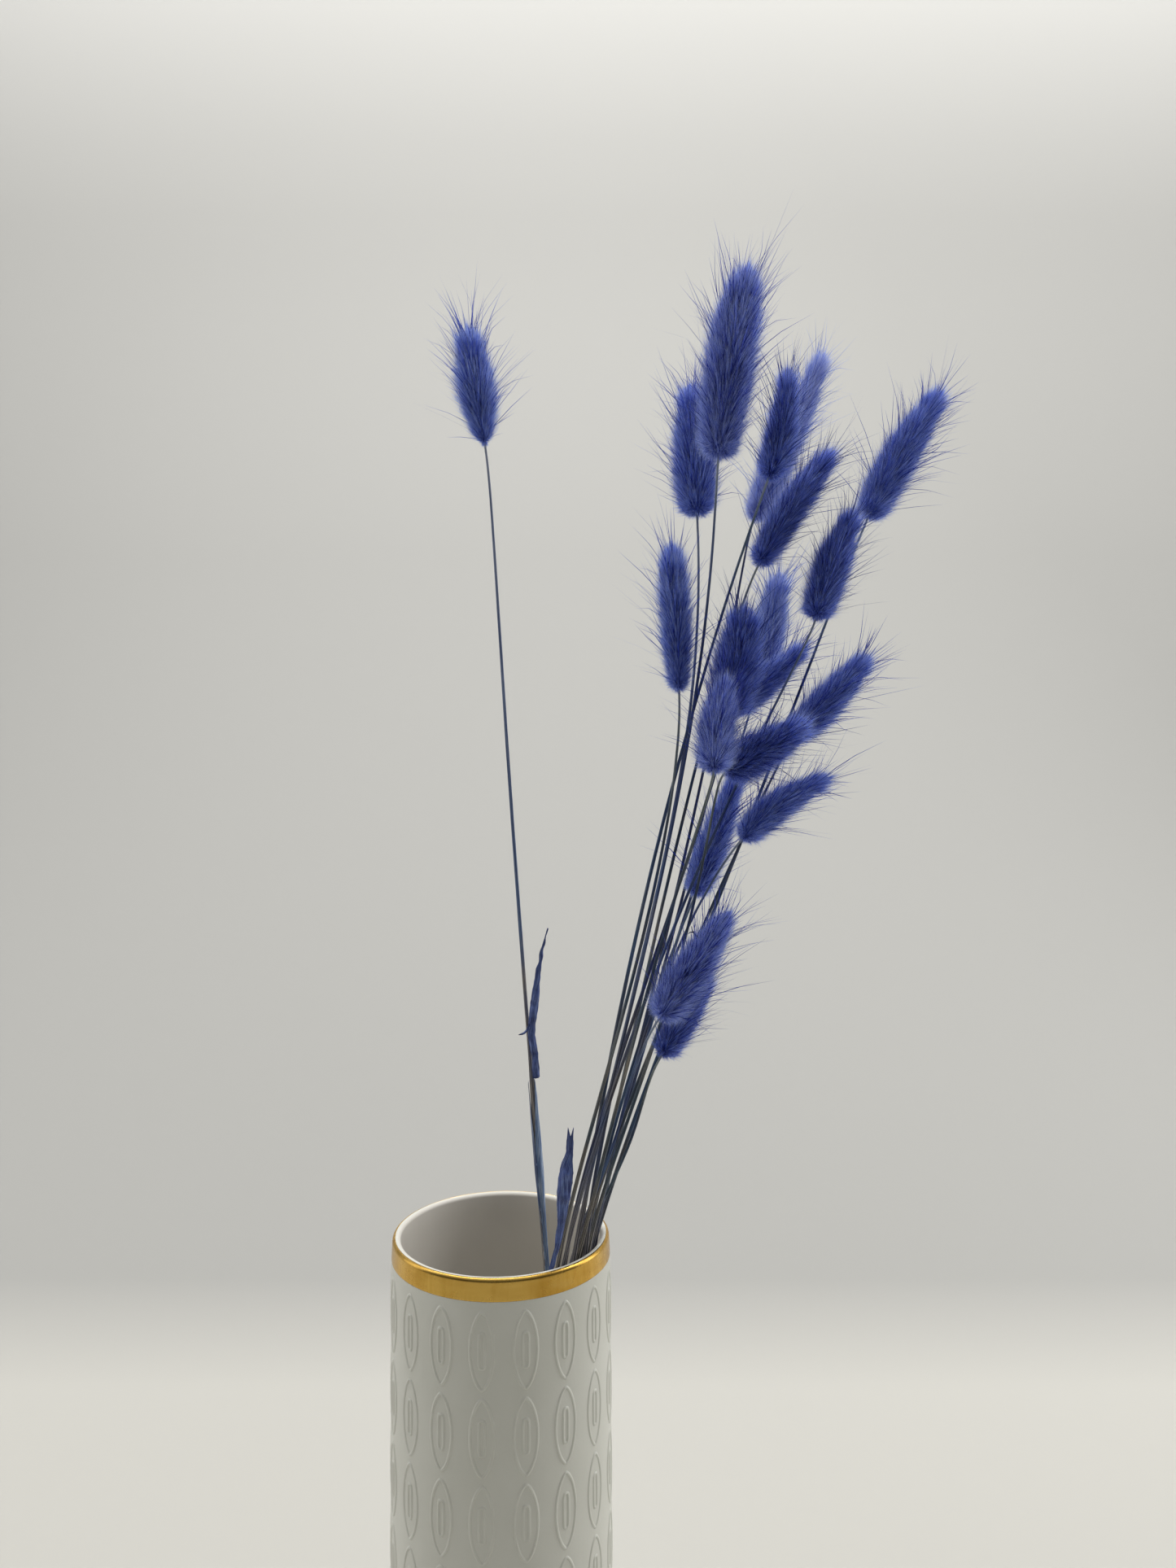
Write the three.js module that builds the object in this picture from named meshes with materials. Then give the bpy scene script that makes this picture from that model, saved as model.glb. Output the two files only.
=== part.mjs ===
import * as THREE from "three";

// Dried bunny tail grass in a cylinder vase.
// Millimetres, +Z up. The origin is the centre of the vase's foot, on the surface that it stands on.
// +X is to the right and -Y is to the front.

// Vase
const VASE_HEIGHT = 200;
const VASE_RADIUS_FOOT = 35;
const VASE_RADIUS_BAND = 34.4;
const VASE_RADIUS_RIM = 34;
const BAND_HEIGHT = 9;
const WALL = 2.6;
const FLOOR = 4;
const FOOT_BEVEL = 1.5;
const LIP_ROUND = 1.2;
const VASE_SIDES = 40;

// Stems
const GAP = 0.3;
const FOOT_HEIGHT = FLOOR + 1;
const FOOT_CIRCLE = 28.5;
const STEM_RADIUS_FOOT = 0.9;
const STEM_RADIUS_NECK = 0.5;
const STEM_SIDES = 6;
const STEM_STEPS = 10;

// The sheath of the lone stem swells it over this share of its way from the mouth to the head
const SHEATH_SHARE = 0.2;
const SHEATH_SWELL = 0.55;

// The fan of stems leans on the rim at the front right, in two rows a few degrees apart
const ROWS = {
  outer: { radius: 30.3, start: -52 },
  inner: { radius: 28, start: -50 },
};
const PLACE_STEP = 4;

// Flower heads: a slim core, covered by spikelets that lean to the tip, and long thin awns among them
const FLUFF = 2.4;
const SPIKELET_LENGTH = 6;
const SPIKELET_VARIATION = 0.12;
const SPIKELET_CLEARANCE = 0.4;
const SHORTEST_SPIKELET = 1.2;
const SPIKELET_SHARE_AT_BASE = 0.5;
const FULL_SPIKELETS_FROM = 0.25;
const SIDE_PITCH = 4.4;
const RING_PITCH = 3.8;
const LEAN_AT_BASE = 60;
const LEAN_AT_TIP = 10;
const LEAN_EASE = 0.6;
const BELLY = 0.38;
const BASE_SHARE = 0.45;
const BASE_BLUNTNESS = 3;
const TIP_SHARE = 0.28;
const AWN_EVERY = 7;
const FIRST_AWN_SHARE = 0.12;
const AWN_LENGTH = 14;
const SHORTEST_AWN = 8;
const AWN_STARTS = 0.8;
const AWN_RADIUS = 0.35;
const AWN_CLEARANCE = 0.8;

// Leaves
const LEAF_THICKNESS = 0.7;
const LEAF_STEPS = 12;
const LEAF_ACROSS = [-1, -0.35, 0.35, 1];

const COLOURS = { porcelain: 0xe9e9e6, stem: 0x55606a, leaf: 0x2b3f7c, head: 0x4650a8 };

// The lone stem stands at the left, behind the fan where they cross at the mouth
const LONE = {
  id: 1, base: [-4, -6, 445], tip: [-9, -10, 479],
  radius: 6.4, belly: 0.5, baseShare: 0.25, bluntness: 1.4,
  waist: [13, 6, VASE_HEIGHT], foot: [27, 7, FOOT_HEIGHT], neck: 0.35, bow: [-1, 0], sheath: true,
};

// Each stem of the fan: where its head starts and ends, the head's radius, where along it the head is widest,
// how far a curved head's middle stands off its straight line (towards -X where the head is upright), its place
// on the rim (row and number), how far its foot leans back below the rim, how stiff its neck is, and how far
// its middle bows to the right (+) or left (-), and to the back (+) or front (-), to pass its neighbours.
const FAN = [
  { id: 2, base: [66, -16, 438], tip: [74, -22, 492.5], radius: 7.8, belly: 0.6, curve: 1.0,
    row: "outer", place: 3, lean: 0.9, neck: 0.35, bow: [6, 4] },
  { id: 3, base: [62, 8, 426], tip: [60, 12, 468], radius: 7.2,
    row: "outer", place: 6, lean: 0.6, neck: 1.0, bow: [2, 6] },
  { id: 4, base: [82, -8, 434], tip: [87, -12, 466], radius: 5.4, curve: -1.5,
    row: "inner", place: 5, lean: 0.6, neck: 0.2, bow: [-2, 6] },
  { id: 5, base: [81, 16, 426], tip: [105, 24, 482], radius: 5.8,
    row: "outer", place: 14, lean: 0.9, neck: 0.2, bow: [4, 6] },
  { id: 6, base: [80, -2, 409], tip: [104, 2, 445], radius: 5.6, belly: 0.5, curve: 1.2,
    row: "inner", place: 13, lean: 0.9, neck: 0.35, bow: [0, 6] },
  { id: 7, base: [117, 12, 426], tip: [141, 14, 467], radius: 6.5, curve: 1.2,
    row: "outer", place: 12, lean: 0.8, neck: 0.5, bow: [3, 4] },
  { id: 8, base: [97, -6, 392], tip: [110, -2, 426], radius: 6.2, curve: 1,
    row: "outer", place: 1, lean: 1.0, neck: 0.2, bow: [-2, 4] },
  { id: 9, base: [55, -10, 370], tip: [52.5, -12, 414], radius: 5.3, belly: 0.7,
    row: "outer", place: 0, lean: 1.1, neck: 0.5, bow: [2, -6] },
  { id: 10, base: [84, 25, 375], tip: [92, 29, 411], radius: 6.2,
    row: "outer", place: 13, lean: 0.65, neck: 0.35, bow: [0, -2] },
  { id: 11, base: [70.3, -9, 362], tip: [75.3, -9, 395.5], radius: 7.6, belly: 0.5,
    row: "inner", place: 2, lean: 0.55, neck: 0.35, bow: [2, 6] },
  { id: 12, base: [63, -34, 346], tip: [68, -22, 374], radius: 6.1, curve: 0.7,
    row: "outer", place: 4, lean: 1.1, neck: 0.2, bow: [-2, 2] },
  { id: 13, base: [75, 12, 365], tip: [97, 9, 385.3], radius: 5.4,
    row: "outer", place: 11, lean: 0.6, neck: 0.2, bow: [4, 4] },
  { id: 14, base: [69, -13, 345.3], tip: [92, -25, 360.2], radius: 6.7,
    row: "outer", place: 7, lean: 0.7, neck: 0.2, bow: [6, -4] },
  { id: 15, base: [93, 2, 357], tip: [116, 4, 381.5], radius: 6.0,
    row: "inner", place: 7, lean: 0.6, neck: 0.2, bow: [0, -6] },
  { id: 16, base: [74, -12, 325], tip: [102, -6, 343.5], radius: 5.4, curve: 2.2,
    row: "outer", place: 9, lean: 0.6, neck: 0.5, bow: [-2, 2] },
  { id: 17, base: [61, 2, 306], tip: [75, 4, 345], radius: 5.5,
    row: "inner", place: 9, lean: 0.7, neck: 0.2, bow: [-2, -4] },
  { id: 18, base: [48, -28, 274], tip: [69, -26, 305], radius: 6.4,
    row: "inner", place: 4, lean: 0.8, neck: 1.0, bow: [4, 6] },
  { id: 19, base: [49.5, -16, 260], tip: [64.5, -12, 284], radius: 5.3,
    row: "inner", place: 10, lean: 1.1, neck: 1.0, bow: [4, 4] },
];

// Each leaf: the line along its middle, then its half width, its curl's depth and its turn in degrees
const LEAVES = [
  { name: "leaf_01",
    line: [[11, 4.4, 247.5], [10.4, 2.6, 255], [9.5, 1.9, 263], [10.4, 2.1, 271],
      [11.8, 2.6, 281], [13, 3.1, 289], [14.6, 3.6, 295.5]],
    halfWidths: [0.5, 1.1, 1.3, 1.3, 0.9, 0.7, 0.4], curl: 0.5, turns: [30, -10, 20, 0, 40, 70, 90] },
  { name: "leaf_02",
    line: [[15.2, -24.6, 190], [17.0, -25.2, 200], [18.6, -25.6, 207], [19.6, -26, 214],
      [20.3, -26, 221], [20.8, -25.6, 228], [22, -25, 234], [22.3, -24.6, 240]],
    halfWidths: [0.6, 0.8, 1.0, 1.7, 1.9, 1.2, 0.8, 0.9], curl: 0.7,
    turns: [60, 40, 20, 0, 10, -10, 20, 10] },
];

const vector = ([x, y, z]) => new THREE.Vector3(x, y, z);
const mix = THREE.MathUtils.lerp;
const radians = THREE.MathUtils.degToRad;
const random = THREE.MathUtils.seededRandom;
const label = (kind, id) => `${kind}_${String(id).padStart(2, "0")}`;

function material(colour, roughness) {
  return new THREE.MeshStandardMaterial({ color: colour, roughness, metalness: 0 });
}

const MATERIALS = {
  vase: material(COLOURS.porcelain, 0.35),
  stem: material(COLOURS.stem, 0.7),
  leaf: material(COLOURS.leaf, 0.75),
  head: material(COLOURS.head, 0.9),
};

function surface(corners, faces) {
  const geometry = new THREE.BufferGeometry();
  geometry.setAttribute("position", new THREE.Float32BufferAttribute(corners.flatMap((p) => p.toArray()), 3));
  geometry.setIndex(faces);
  geometry.computeVertexNormals();
  return geometry;
}

// A closed body through rings with equal numbers of corners. The cap lists one end's triangles.
function loft(rings, cap) {
  const count = rings[0].length;
  const faces = [];
  for (let ring = 0; ring + 1 < rings.length; ring++) {
    for (let corner = 0; corner < count; corner++) {
      const here = ring * count + corner;
      const next = ring * count + ((corner + 1) % count);
      faces.push(here, next, next + count, here, next + count, here + count);
    }
  }
  const last = (rings.length - 1) * count;
  for (const [a, b, c] of cap) faces.push(a, c, b, last + a, last + b, last + c);
  return surface(rings.flat(), faces);
}

// Two directions across a line, at right angles to it and to each other
function across(along) {
  const side = new THREE.Vector3(0, 1, 0).cross(along).normalize();
  return [side, along.clone().cross(side)];
}

// Vase
function vaseGeometry() {
  const inner = VASE_RADIUS_RIM - WALL;
  const profile = [
    [0, 0], [VASE_RADIUS_FOOT - FOOT_BEVEL, 0], [VASE_RADIUS_FOOT, FOOT_BEVEL],
    [VASE_RADIUS_FOOT, VASE_HEIGHT / 2], [VASE_RADIUS_BAND, VASE_HEIGHT - BAND_HEIGHT],
    [VASE_RADIUS_RIM, VASE_HEIGHT - LIP_ROUND], [VASE_RADIUS_RIM - LIP_ROUND / 2, VASE_HEIGHT],
    [inner + LIP_ROUND / 2, VASE_HEIGHT], [inner, VASE_HEIGHT - LIP_ROUND],
    [inner, FLOOR + FOOT_BEVEL], [inner - FOOT_BEVEL, FLOOR], [0, FLOOR],
  ];
  const geometry = new THREE.LatheGeometry(profile.map(([r, z]) => new THREE.Vector2(r, z)), VASE_SIDES);
  return geometry.rotateX(Math.PI / 2);
}

// Stems
function rimPlace({ row, place }) {
  const angle = radians(ROWS[row].start + PLACE_STEP * place);
  return new THREE.Vector3(Math.cos(angle), Math.sin(angle), 0)
    .multiplyScalar(ROWS[row].radius)
    .setZ(VASE_HEIGHT);
}

// The foot lies on the line from the head over the rim, drawn on to the floor of the vase
function footPlace(waist, base, lean) {
  const rise = base.z - waist.z;
  const drop = (waist.z - FOOT_HEIGHT) * lean;
  const foot = new THREE.Vector2(
    waist.x - (drop * (base.x - waist.x)) / rise,
    waist.y - (drop * (base.y - waist.y)) / rise,
  );
  foot.clampLength(0, FOOT_CIRCLE);
  return new THREE.Vector3(foot.x, foot.y, FOOT_HEIGHT);
}

// The middle line of a head at a share of its length, and the direction in which it grows there.
// The factor of 4 makes the product of the two shares 1 at the middle, and so does 16 for its square below.
function growth({ base, tip, curve = 0 }, share) {
  const chord = tip.clone().sub(base);
  const aside = new THREE.Vector3(-chord.z, 0, chord.x).normalize().multiplyScalar(4 * curve);
  const point = base.clone().addScaledVector(chord, share).addScaledVector(aside, share * (1 - share));
  const direction = chord.addScaledVector(aside, 1 - 2 * share).normalize();
  return { point, direction };
}

// Straight inside the vase, then one smooth bend from the mouth to the head
function layOut(stem) {
  const base = vector(stem.base);
  const tip = vector(stem.tip);
  const axis = growth({ ...stem, base, tip }, 0).direction;
  const waist = stem.waist ? vector(stem.waist) : rimPlace(stem);
  const foot = stem.foot ? vector(stem.foot) : footPlace(waist, base, stem.lean);
  const end = base.clone().addScaledVector(axis, -GAP);
  const reach = end.distanceTo(waist);
  const start = waist.clone().sub(foot).normalize();
  const bend = new THREE.CubicBezierCurve3(
    waist,
    waist.clone().addScaledVector(start, reach / 3),
    end.clone().addScaledVector(axis, (-reach * stem.neck) / 3),
    end,
  );
  const above = (share) => {
    const point = bend.getPoint(share);
    const swell = 16 * (share * (1 - share)) ** 2;
    return point.add(new THREE.Vector3(stem.bow[0] * swell, stem.bow[1] * swell, 0));
  };
  return { ...stem, base, tip, axis, foot, waist, above };
}

function stemShares(stem) {
  const shares = [];
  for (let step = 0; step <= STEM_STEPS; step++) shares.push(step / STEM_STEPS);
  if (stem.sheath) shares.push(SHEATH_SHARE / 4, (SHEATH_SHARE * 3) / 4);
  return shares.sort((a, b) => a - b);
}

function stemRadius(stem, point, share) {
  const height = (point.z - FOOT_HEIGHT) / (stem.base.z - FOOT_HEIGHT);
  const plain = mix(STEM_RADIUS_FOOT, STEM_RADIUS_NECK, height);
  const inSheath = stem.sheath && share < SHEATH_SHARE;
  return inSheath ? plain + SHEATH_SWELL * Math.sin((Math.PI * share) / SHEATH_SHARE) : plain;
}

function stemGeometry(stem) {
  const stations = [{ point: stem.foot, share: 0 }];
  for (const share of stemShares(stem)) stations.push({ point: stem.above(share), share });
  const rings = stations.map(({ point, share }, index) => {
    const before = stations[Math.max(index - 1, 0)].point;
    const after = stations[Math.min(index + 1, stations.length - 1)].point;
    const [side, depth] = across(after.clone().sub(before).normalize());
    const radius = stemRadius(stem, point, share);
    return Array.from({ length: STEM_SIDES }, (_, corner) => {
      const turn = (2 * Math.PI * corner) / STEM_SIDES;
      return point.clone()
        .addScaledVector(side, radius * Math.cos(turn))
        .addScaledVector(depth, radius * Math.sin(turn));
    });
  });
  const cap = [];
  for (let corner = 1; corner + 1 < STEM_SIDES; corner++) cap.push([0, corner, corner + 1]);
  return loft(rings, cap);
}

// Flower heads
// The outline of a head as a share of its radius: blunt at the base, widest at the belly, round at the tip
function outline({ belly = BELLY, baseShare = BASE_SHARE, bluntness = BASE_BLUNTNESS }, share) {
  if (share < belly) return Math.sqrt(1 - (1 - baseShare ** 2) * (1 - share / belly) ** bluntness);
  return Math.sqrt(1 - (1 - TIP_SHARE ** 2) * ((share - belly) / (1 - belly)) ** 2);
}

// Round obstacles along every stem and head, which the spikelets and awns of other heads stay clear of
function obstaclesOf(stems) {
  const obstacles = [];
  for (const stem of stems) {
    const clear = { radius: STEM_RADIUS_FOOT, owner: stem.id };
    for (let step = 0; step <= 100; step++) obstacles.push({ centre: stem.above(step / 100), ...clear });
    for (let step = 0; step <= 10; step++) {
      const centre = growth(stem, step / 10).point;
      obstacles.push({ centre, radius: stem.radius * outline(stem, step / 10), owner: stem.id });
    }
  }
  return obstacles;
}

// How far a line can run before it comes too close to another stem or head
function freeLength(from, towards, length, clearance, obstacles) {
  for (let run = 0; run <= length; run += 1) {
    const point = from.clone().addScaledVector(towards, run);
    const blocked = obstacles.some(({ centre, radius }) => centre.distanceTo(point) < radius + clearance);
    if (blocked) return run - 1;
  }
  return length;
}

function headGeometry(stem, allObstacles) {
  const obstacles = allObstacles.filter(({ owner }) => owner !== stem.id);
  const length = stem.base.distanceTo(stem.tip);
  const coreLength = length - SPIKELET_LENGTH;
  const coreRadius = stem.radius - FLUFF;
  const sides = Math.round((2 * Math.PI * stem.radius) / SIDE_PITCH);
  const rings = Math.round(coreLength / RING_PITCH);
  const corners = [];
  const faces = [];
  const add = (point) => corners.push(point) - 1;
  const outwards = (direction, turn) => {
    const [side, depth] = across(direction);
    return side.multiplyScalar(Math.cos(turn)).addScaledVector(depth, Math.sin(turn));
  };

  for (let ring = 0; ring <= rings; ring++) {
    const share = ring / rings;
    const { point, direction } = growth(stem, (share * coreLength) / length);
    const radius = coreRadius * outline(stem, share);
    for (let corner = 0; corner < sides; corner++) {
      const turn = (2 * Math.PI * (corner + ring / 2)) / sides;
      add(point.clone().addScaledVector(outwards(direction, turn), radius));
    }
  }

  // A spikelet stands on one triangle of the core. An awn goes on from a spikelet's narrowed end.
  let spikelets = 0;
  random(stem.id);
  function spikelet(a, b, c, share, turn) {
    const middle = corners[a].clone().add(corners[b]).add(corners[c]).divideScalar(3);
    const lean = radians(mix(LEAN_AT_BASE, LEAN_AT_TIP, share ** LEAN_EASE));
    const { direction } = growth(stem, (share * coreLength) / length);
    const towards = outwards(direction, turn).multiplyScalar(Math.sin(lean));
    towards.addScaledVector(direction, Math.cos(lean));
    const vary = 1 + SPIKELET_VARIATION * (2 * random() - 1);
    const grown = mix(SPIKELET_SHARE_AT_BASE, 1, Math.min(1, share / FULL_SPIKELETS_FROM));
    const full = SPIKELET_LENGTH * vary * grown;
    const free = freeLength(middle, towards, full, SPIKELET_CLEARANCE, obstacles);
    const run = Math.max(SHORTEST_SPIKELET, free);
    const awnRun = freeLength(middle, towards, AWN_LENGTH, AWN_CLEARANCE, obstacles);
    spikelets += 1;
    const bare = spikelets % AWN_EVERY !== 0 || share < FIRST_AWN_SHARE || awnRun < SHORTEST_AWN;
    if (bare) {
      const point = add(middle.clone().addScaledVector(towards, run));
      faces.push(a, b, point, b, c, point, c, a, point);
      return;
    }
    const throat = middle.clone().addScaledVector(towards, run * AWN_STARTS);
    const [d, e, f] = [a, b, c].map((corner) => {
      const spread = corners[corner].clone().sub(middle);
      spread.addScaledVector(towards, -spread.dot(towards)).normalize();
      return add(throat.clone().addScaledVector(spread, AWN_RADIUS));
    });
    const point = add(middle.clone().addScaledVector(towards, awnRun));
    faces.push(a, b, e, a, e, d, b, c, f, b, f, e, c, a, d, c, d, f);
    faces.push(d, e, point, e, f, point, f, d, point);
  }

  for (let ring = 0; ring < rings; ring++) {
    for (let corner = 0; corner < sides; corner++) {
      const next = (corner + 1) % sides;
      const [low, lowNext] = [ring * sides + corner, ring * sides + next];
      const [high, highNext] = [low + sides, lowNext + sides];
      const turn = (2 * Math.PI * (corner + ring / 2 + 0.5)) / sides;
      spikelet(low, lowNext, high, (ring + 1 / 3) / rings, turn);
      spikelet(lowNext, highNext, high, (ring + 2 / 3) / rings, turn + Math.PI / sides);
    }
  }

  const foot = add(stem.base.clone());
  const top = add(stem.tip.clone());
  for (let corner = 0; corner < sides; corner++) {
    const next = (corner + 1) % sides;
    faces.push(foot, next, corner, top, rings * sides + corner, rings * sides + next);
  }
  return surface(corners, faces);
}

// Leaves
function along(values, share) {
  const place = share * (values.length - 1);
  const index = Math.min(Math.floor(place), values.length - 2);
  return mix(values[index], values[index + 1], place - index);
}

function leafGeometry({ line, halfWidths, curl, turns }) {
  const middle = new THREE.CatmullRomCurve3(line.map(vector));
  const rings = [];
  for (let step = 0; step <= LEAF_STEPS; step++) {
    const share = step / LEAF_STEPS;
    const centre = middle.getPoint(share);
    const [side, depth] = across(middle.getTangent(share));
    const turn = radians(along(turns, share));
    const wide = side.clone().multiplyScalar(Math.cos(turn)).addScaledVector(depth, Math.sin(turn));
    const thick = depth.clone().multiplyScalar(Math.cos(turn)).addScaledVector(side, -Math.sin(turn));
    const halfWidth = along(halfWidths, share);
    const place = (s, face) => centre.clone()
      .addScaledVector(wide, s * halfWidth)
      .addScaledVector(thick, curl * halfWidth * (s * s - 0.5) + (face * LEAF_THICKNESS) / 2);
    const under = LEAF_ACROSS.map((s) => place(s, -1));
    const over = LEAF_ACROSS.map((s) => place(s, 1)).reverse();
    rings.push([...under, ...over]);
  }
  const cap = [];
  const last = 2 * LEAF_ACROSS.length - 1;
  for (let corner = 0; corner + 1 < LEAF_ACROSS.length; corner++) {
    cap.push([corner, corner + 1, last - corner - 1], [corner, last - corner - 1, last - corner]);
  }
  return loft(rings, cap);
}

// The whole part
const grass = new THREE.Group();

function place(name, geometry, kind) {
  const mesh = new THREE.Mesh(geometry, MATERIALS[kind]);
  mesh.name = name;
  grass.add(mesh);
}

const stems = [LONE, ...FAN].map(layOut);
const obstacles = obstaclesOf(stems);

place("vase", vaseGeometry(), "vase");
for (const stem of stems) place(label("stem", stem.id), stemGeometry(stem), "stem");
for (const stem of stems) place(label("head", stem.id), headGeometry(stem, obstacles), "head");
for (const leaf of LEAVES) place(leaf.name, leafGeometry(leaf), "leaf");

export default grass;
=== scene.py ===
import math

import bpy
import numpy as np
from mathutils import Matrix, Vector


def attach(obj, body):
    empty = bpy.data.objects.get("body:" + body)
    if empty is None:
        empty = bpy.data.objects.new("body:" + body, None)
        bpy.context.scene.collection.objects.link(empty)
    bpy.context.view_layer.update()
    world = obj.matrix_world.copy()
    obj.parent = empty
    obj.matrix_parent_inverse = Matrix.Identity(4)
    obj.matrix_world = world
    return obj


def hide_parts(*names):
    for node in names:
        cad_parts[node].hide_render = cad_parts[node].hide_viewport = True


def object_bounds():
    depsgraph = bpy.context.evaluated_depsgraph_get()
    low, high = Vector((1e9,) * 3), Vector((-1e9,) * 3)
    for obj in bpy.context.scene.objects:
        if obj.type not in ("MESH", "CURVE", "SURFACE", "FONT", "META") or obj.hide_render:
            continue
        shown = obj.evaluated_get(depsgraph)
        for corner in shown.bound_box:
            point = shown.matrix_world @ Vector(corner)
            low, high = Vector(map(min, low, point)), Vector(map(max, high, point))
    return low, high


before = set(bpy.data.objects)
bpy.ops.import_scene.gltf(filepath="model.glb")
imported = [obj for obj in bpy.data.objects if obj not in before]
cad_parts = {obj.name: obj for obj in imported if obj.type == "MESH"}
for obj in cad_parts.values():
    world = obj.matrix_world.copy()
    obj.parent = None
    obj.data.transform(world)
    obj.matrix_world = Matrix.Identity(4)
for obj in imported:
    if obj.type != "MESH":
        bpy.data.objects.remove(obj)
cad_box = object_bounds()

# Dried bunny tail grass in a cylinder vase. Sizes here are in millimetres, as in the CAD source,
# and each mesh is written in metres. +Z is up, +X is to the right and -Y is to the front.
MM = 0.001
SEED = 4

# Vase. FOOT_RING is how far inside the edge of the foot the recess under it has its edges.
VASE_HEIGHT = 200
VASE_RADIUS_FOOT = 35
VASE_RADIUS_BAND = 34.4
VASE_RADIUS_RIM = 34
BAND_HEIGHT = 9
WALL = 2.6
FLOOR = 4
FOOT_BEVEL = 1.5
LIP_ROUND = 1.2
VASE_SIDES = 160
POLE = 0.01
FOOT_RING = (4, 3.4)
FOOT_RECESS = 0.6
BEVEL_FROM = 0.3
BEVEL_STEPS = 5
LIP_STEPS = 11
WALL_STEPS = 24
INSIDE_STEPS = 16
END_MARGIN = 6
GOLD_HEIGHT = 6.6
GOLD_THICKNESS = 0.06
GOLD_STEPS = 6
GOLD_LIP_STEPS = 5
GOLD_TUCK = 0.1
GOLD_MARGIN = 0.3

# Raised ornament on the vase: pointed ovals, each with a bar in it, in straight columns. Powers above 1 point
# an outline's ends and those below 1 square them. Each lane of a ridge has its place and height.
ORNAMENT_COLUMNS = 17
ORNAMENT_ROWS = 7
ORNAMENT_TOP = 179
ORNAMENT_PITCH = 25.5
OVAL = dict(half=(3.6, 11.4), powers=(1.35, 1), corners=28)
BAR = dict(half=(0.9, 5.2), powers=(0.45, 0.45), corners=16)
RIDGE_WIDTH = 1.1
RIDGE_HEIGHT = 0.34
RIDGE_LANES = ((-1, -0.06), (-0.55, 0.55), (0, 1), (0.55, 0.55), (1, -0.06))

# Stems
GAP = 0.3
FOOT_HEIGHT = FLOOR + 1
FOOT_CIRCLE = 28.5
STEM_RADIUS_FOOT = 0.9
STEM_RADIUS_NECK = 0.4
NECK_SLIM = 0.15
NECK_POWER = 8
STEM_INTO_HEAD = 1.6
STEM_SIDES = 12
STEM_STEPS = 60
INSIDE_STEM_STEPS = 13
WOBBLE = 0.01
FLUTE = 0.05
END_MAP = [[0.01, 0.001], [0.02, 0.001], [0.015, 0.004]]
SHEATH_SHARE = 0.2
SHEATH_SWELL = 0.4
ROWS = {"outer": (30.3, -52), "inner": (28, -50)}
PLACE_STEP = 4

# The dry sheath round the lone stem: its foot, its radii at shares of its height, where it starts to narrow,
# and its two flaps with the turns that they reach round the stem, where their tips are and how far these
# stand off
SHEATH_LOW = 176
SHEATH_STEPS = 60
SHEATH_SHARES = [0, 0.35, 0.58, 0.8, 1]
SHEATH_RADII = [0.85, 1.0, 1.38, 1.25, 0.85]
SHEATH_HALF_THICKNESS = 0.06
SHEATH_NARROWS = 0.62
SHEATH_POINT = 0.04
SHEATH_CREASE = 0.04
SHEATH_RAGGED = 0.03
SHEATH_FLAPS = {
    "stem_01_sheath_blue": dict(top=247, turns=(-115, 70), tip_turn=-30, lift=0.1, look="stem_sheath"),
    "stem_01_sheath_grey": dict(top=246, turns=(100, 250), tip_turn=185, lift=0.4, look="stem_ash"),
}

# Leaves
LEAF_STEPS = 110
LEAF_LANES = 19
LEAF_HALF_THICKNESS = 0.1
LEAF_RIBS = 0.07
LEAF_CRUMPLES = 9
LEAF_CRUMPLE = 0.14
LEAF_RAGGED = 0.04
LEAF_END = 0.14
LEAF_FORK = 0.6
LEAF_END_MAP = [[0.01, 0.01], [0.02, 0.01], [0.02, 0.02], [0.01, 0.02]]

# Heads: their outline as shares of their length and radius, how the fur closes beyond it, and the dark core
# inside
BELLY = 0.38
BASE_SHARE = 0.45
BASE_BLUNTNESS = 3
TIP_SHARE = 0.28
CAP_AT_TIP = 2.4
TIP_SHORTER = 1.4
CAP_AT_BASE = 1.4
FULLER_BASE = 0.2
FULLER_TIP = 0.32
SLIM_TIP = 0.1
BASE_ZONE = 0.2
TIP_ZONE = 0.12
CORE_DEPTH = 3.3
CORE_THICKER = 0.3
CORE_LEAST = 0.35
CORE_ENDS = (0.02, 0.96)
CORE_END_SHARE = 0.5
CORE_STEPS = 16
CORE_SIDES = 16

# Tufts of hairs: how they are spread, and how they differ at random, in locks and in slow waves, which have
# their turns round a head and along it
TUFTS_PER_AREA = 1.75
HAIRS_PER_TUFT = 5
FUR_GRID = 500
LEAST_WEIGHT = 0.12
GOLDEN_ANGLE = math.pi * (3 - math.sqrt(5))
TUFT_SHIFT = 0.5
TUFT_TWIST = 0.08
TUFT_REACH = (0.66, 1.02)
TUFT_RISE = (0.8, 1.2)
TUFT_TONE = 0.42
TUFT_LEAN = 0.55
LOCK_WAVES = 12
LOCK_WIDTHS = (1.1, 3.2)
LOCK_LENGTHS = (6, 18)
LOCK_DEPTH = 0.1
LOCK_TONE = 0.28
WAVE_LENGTH = 9
SWELL = 0.04
SWELL_WAVES = ((2, 3), (3, -2))
SWIRL = 0.9
SWIRL_WAVES = ((1, 2.1), (2, -1.3))

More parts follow.
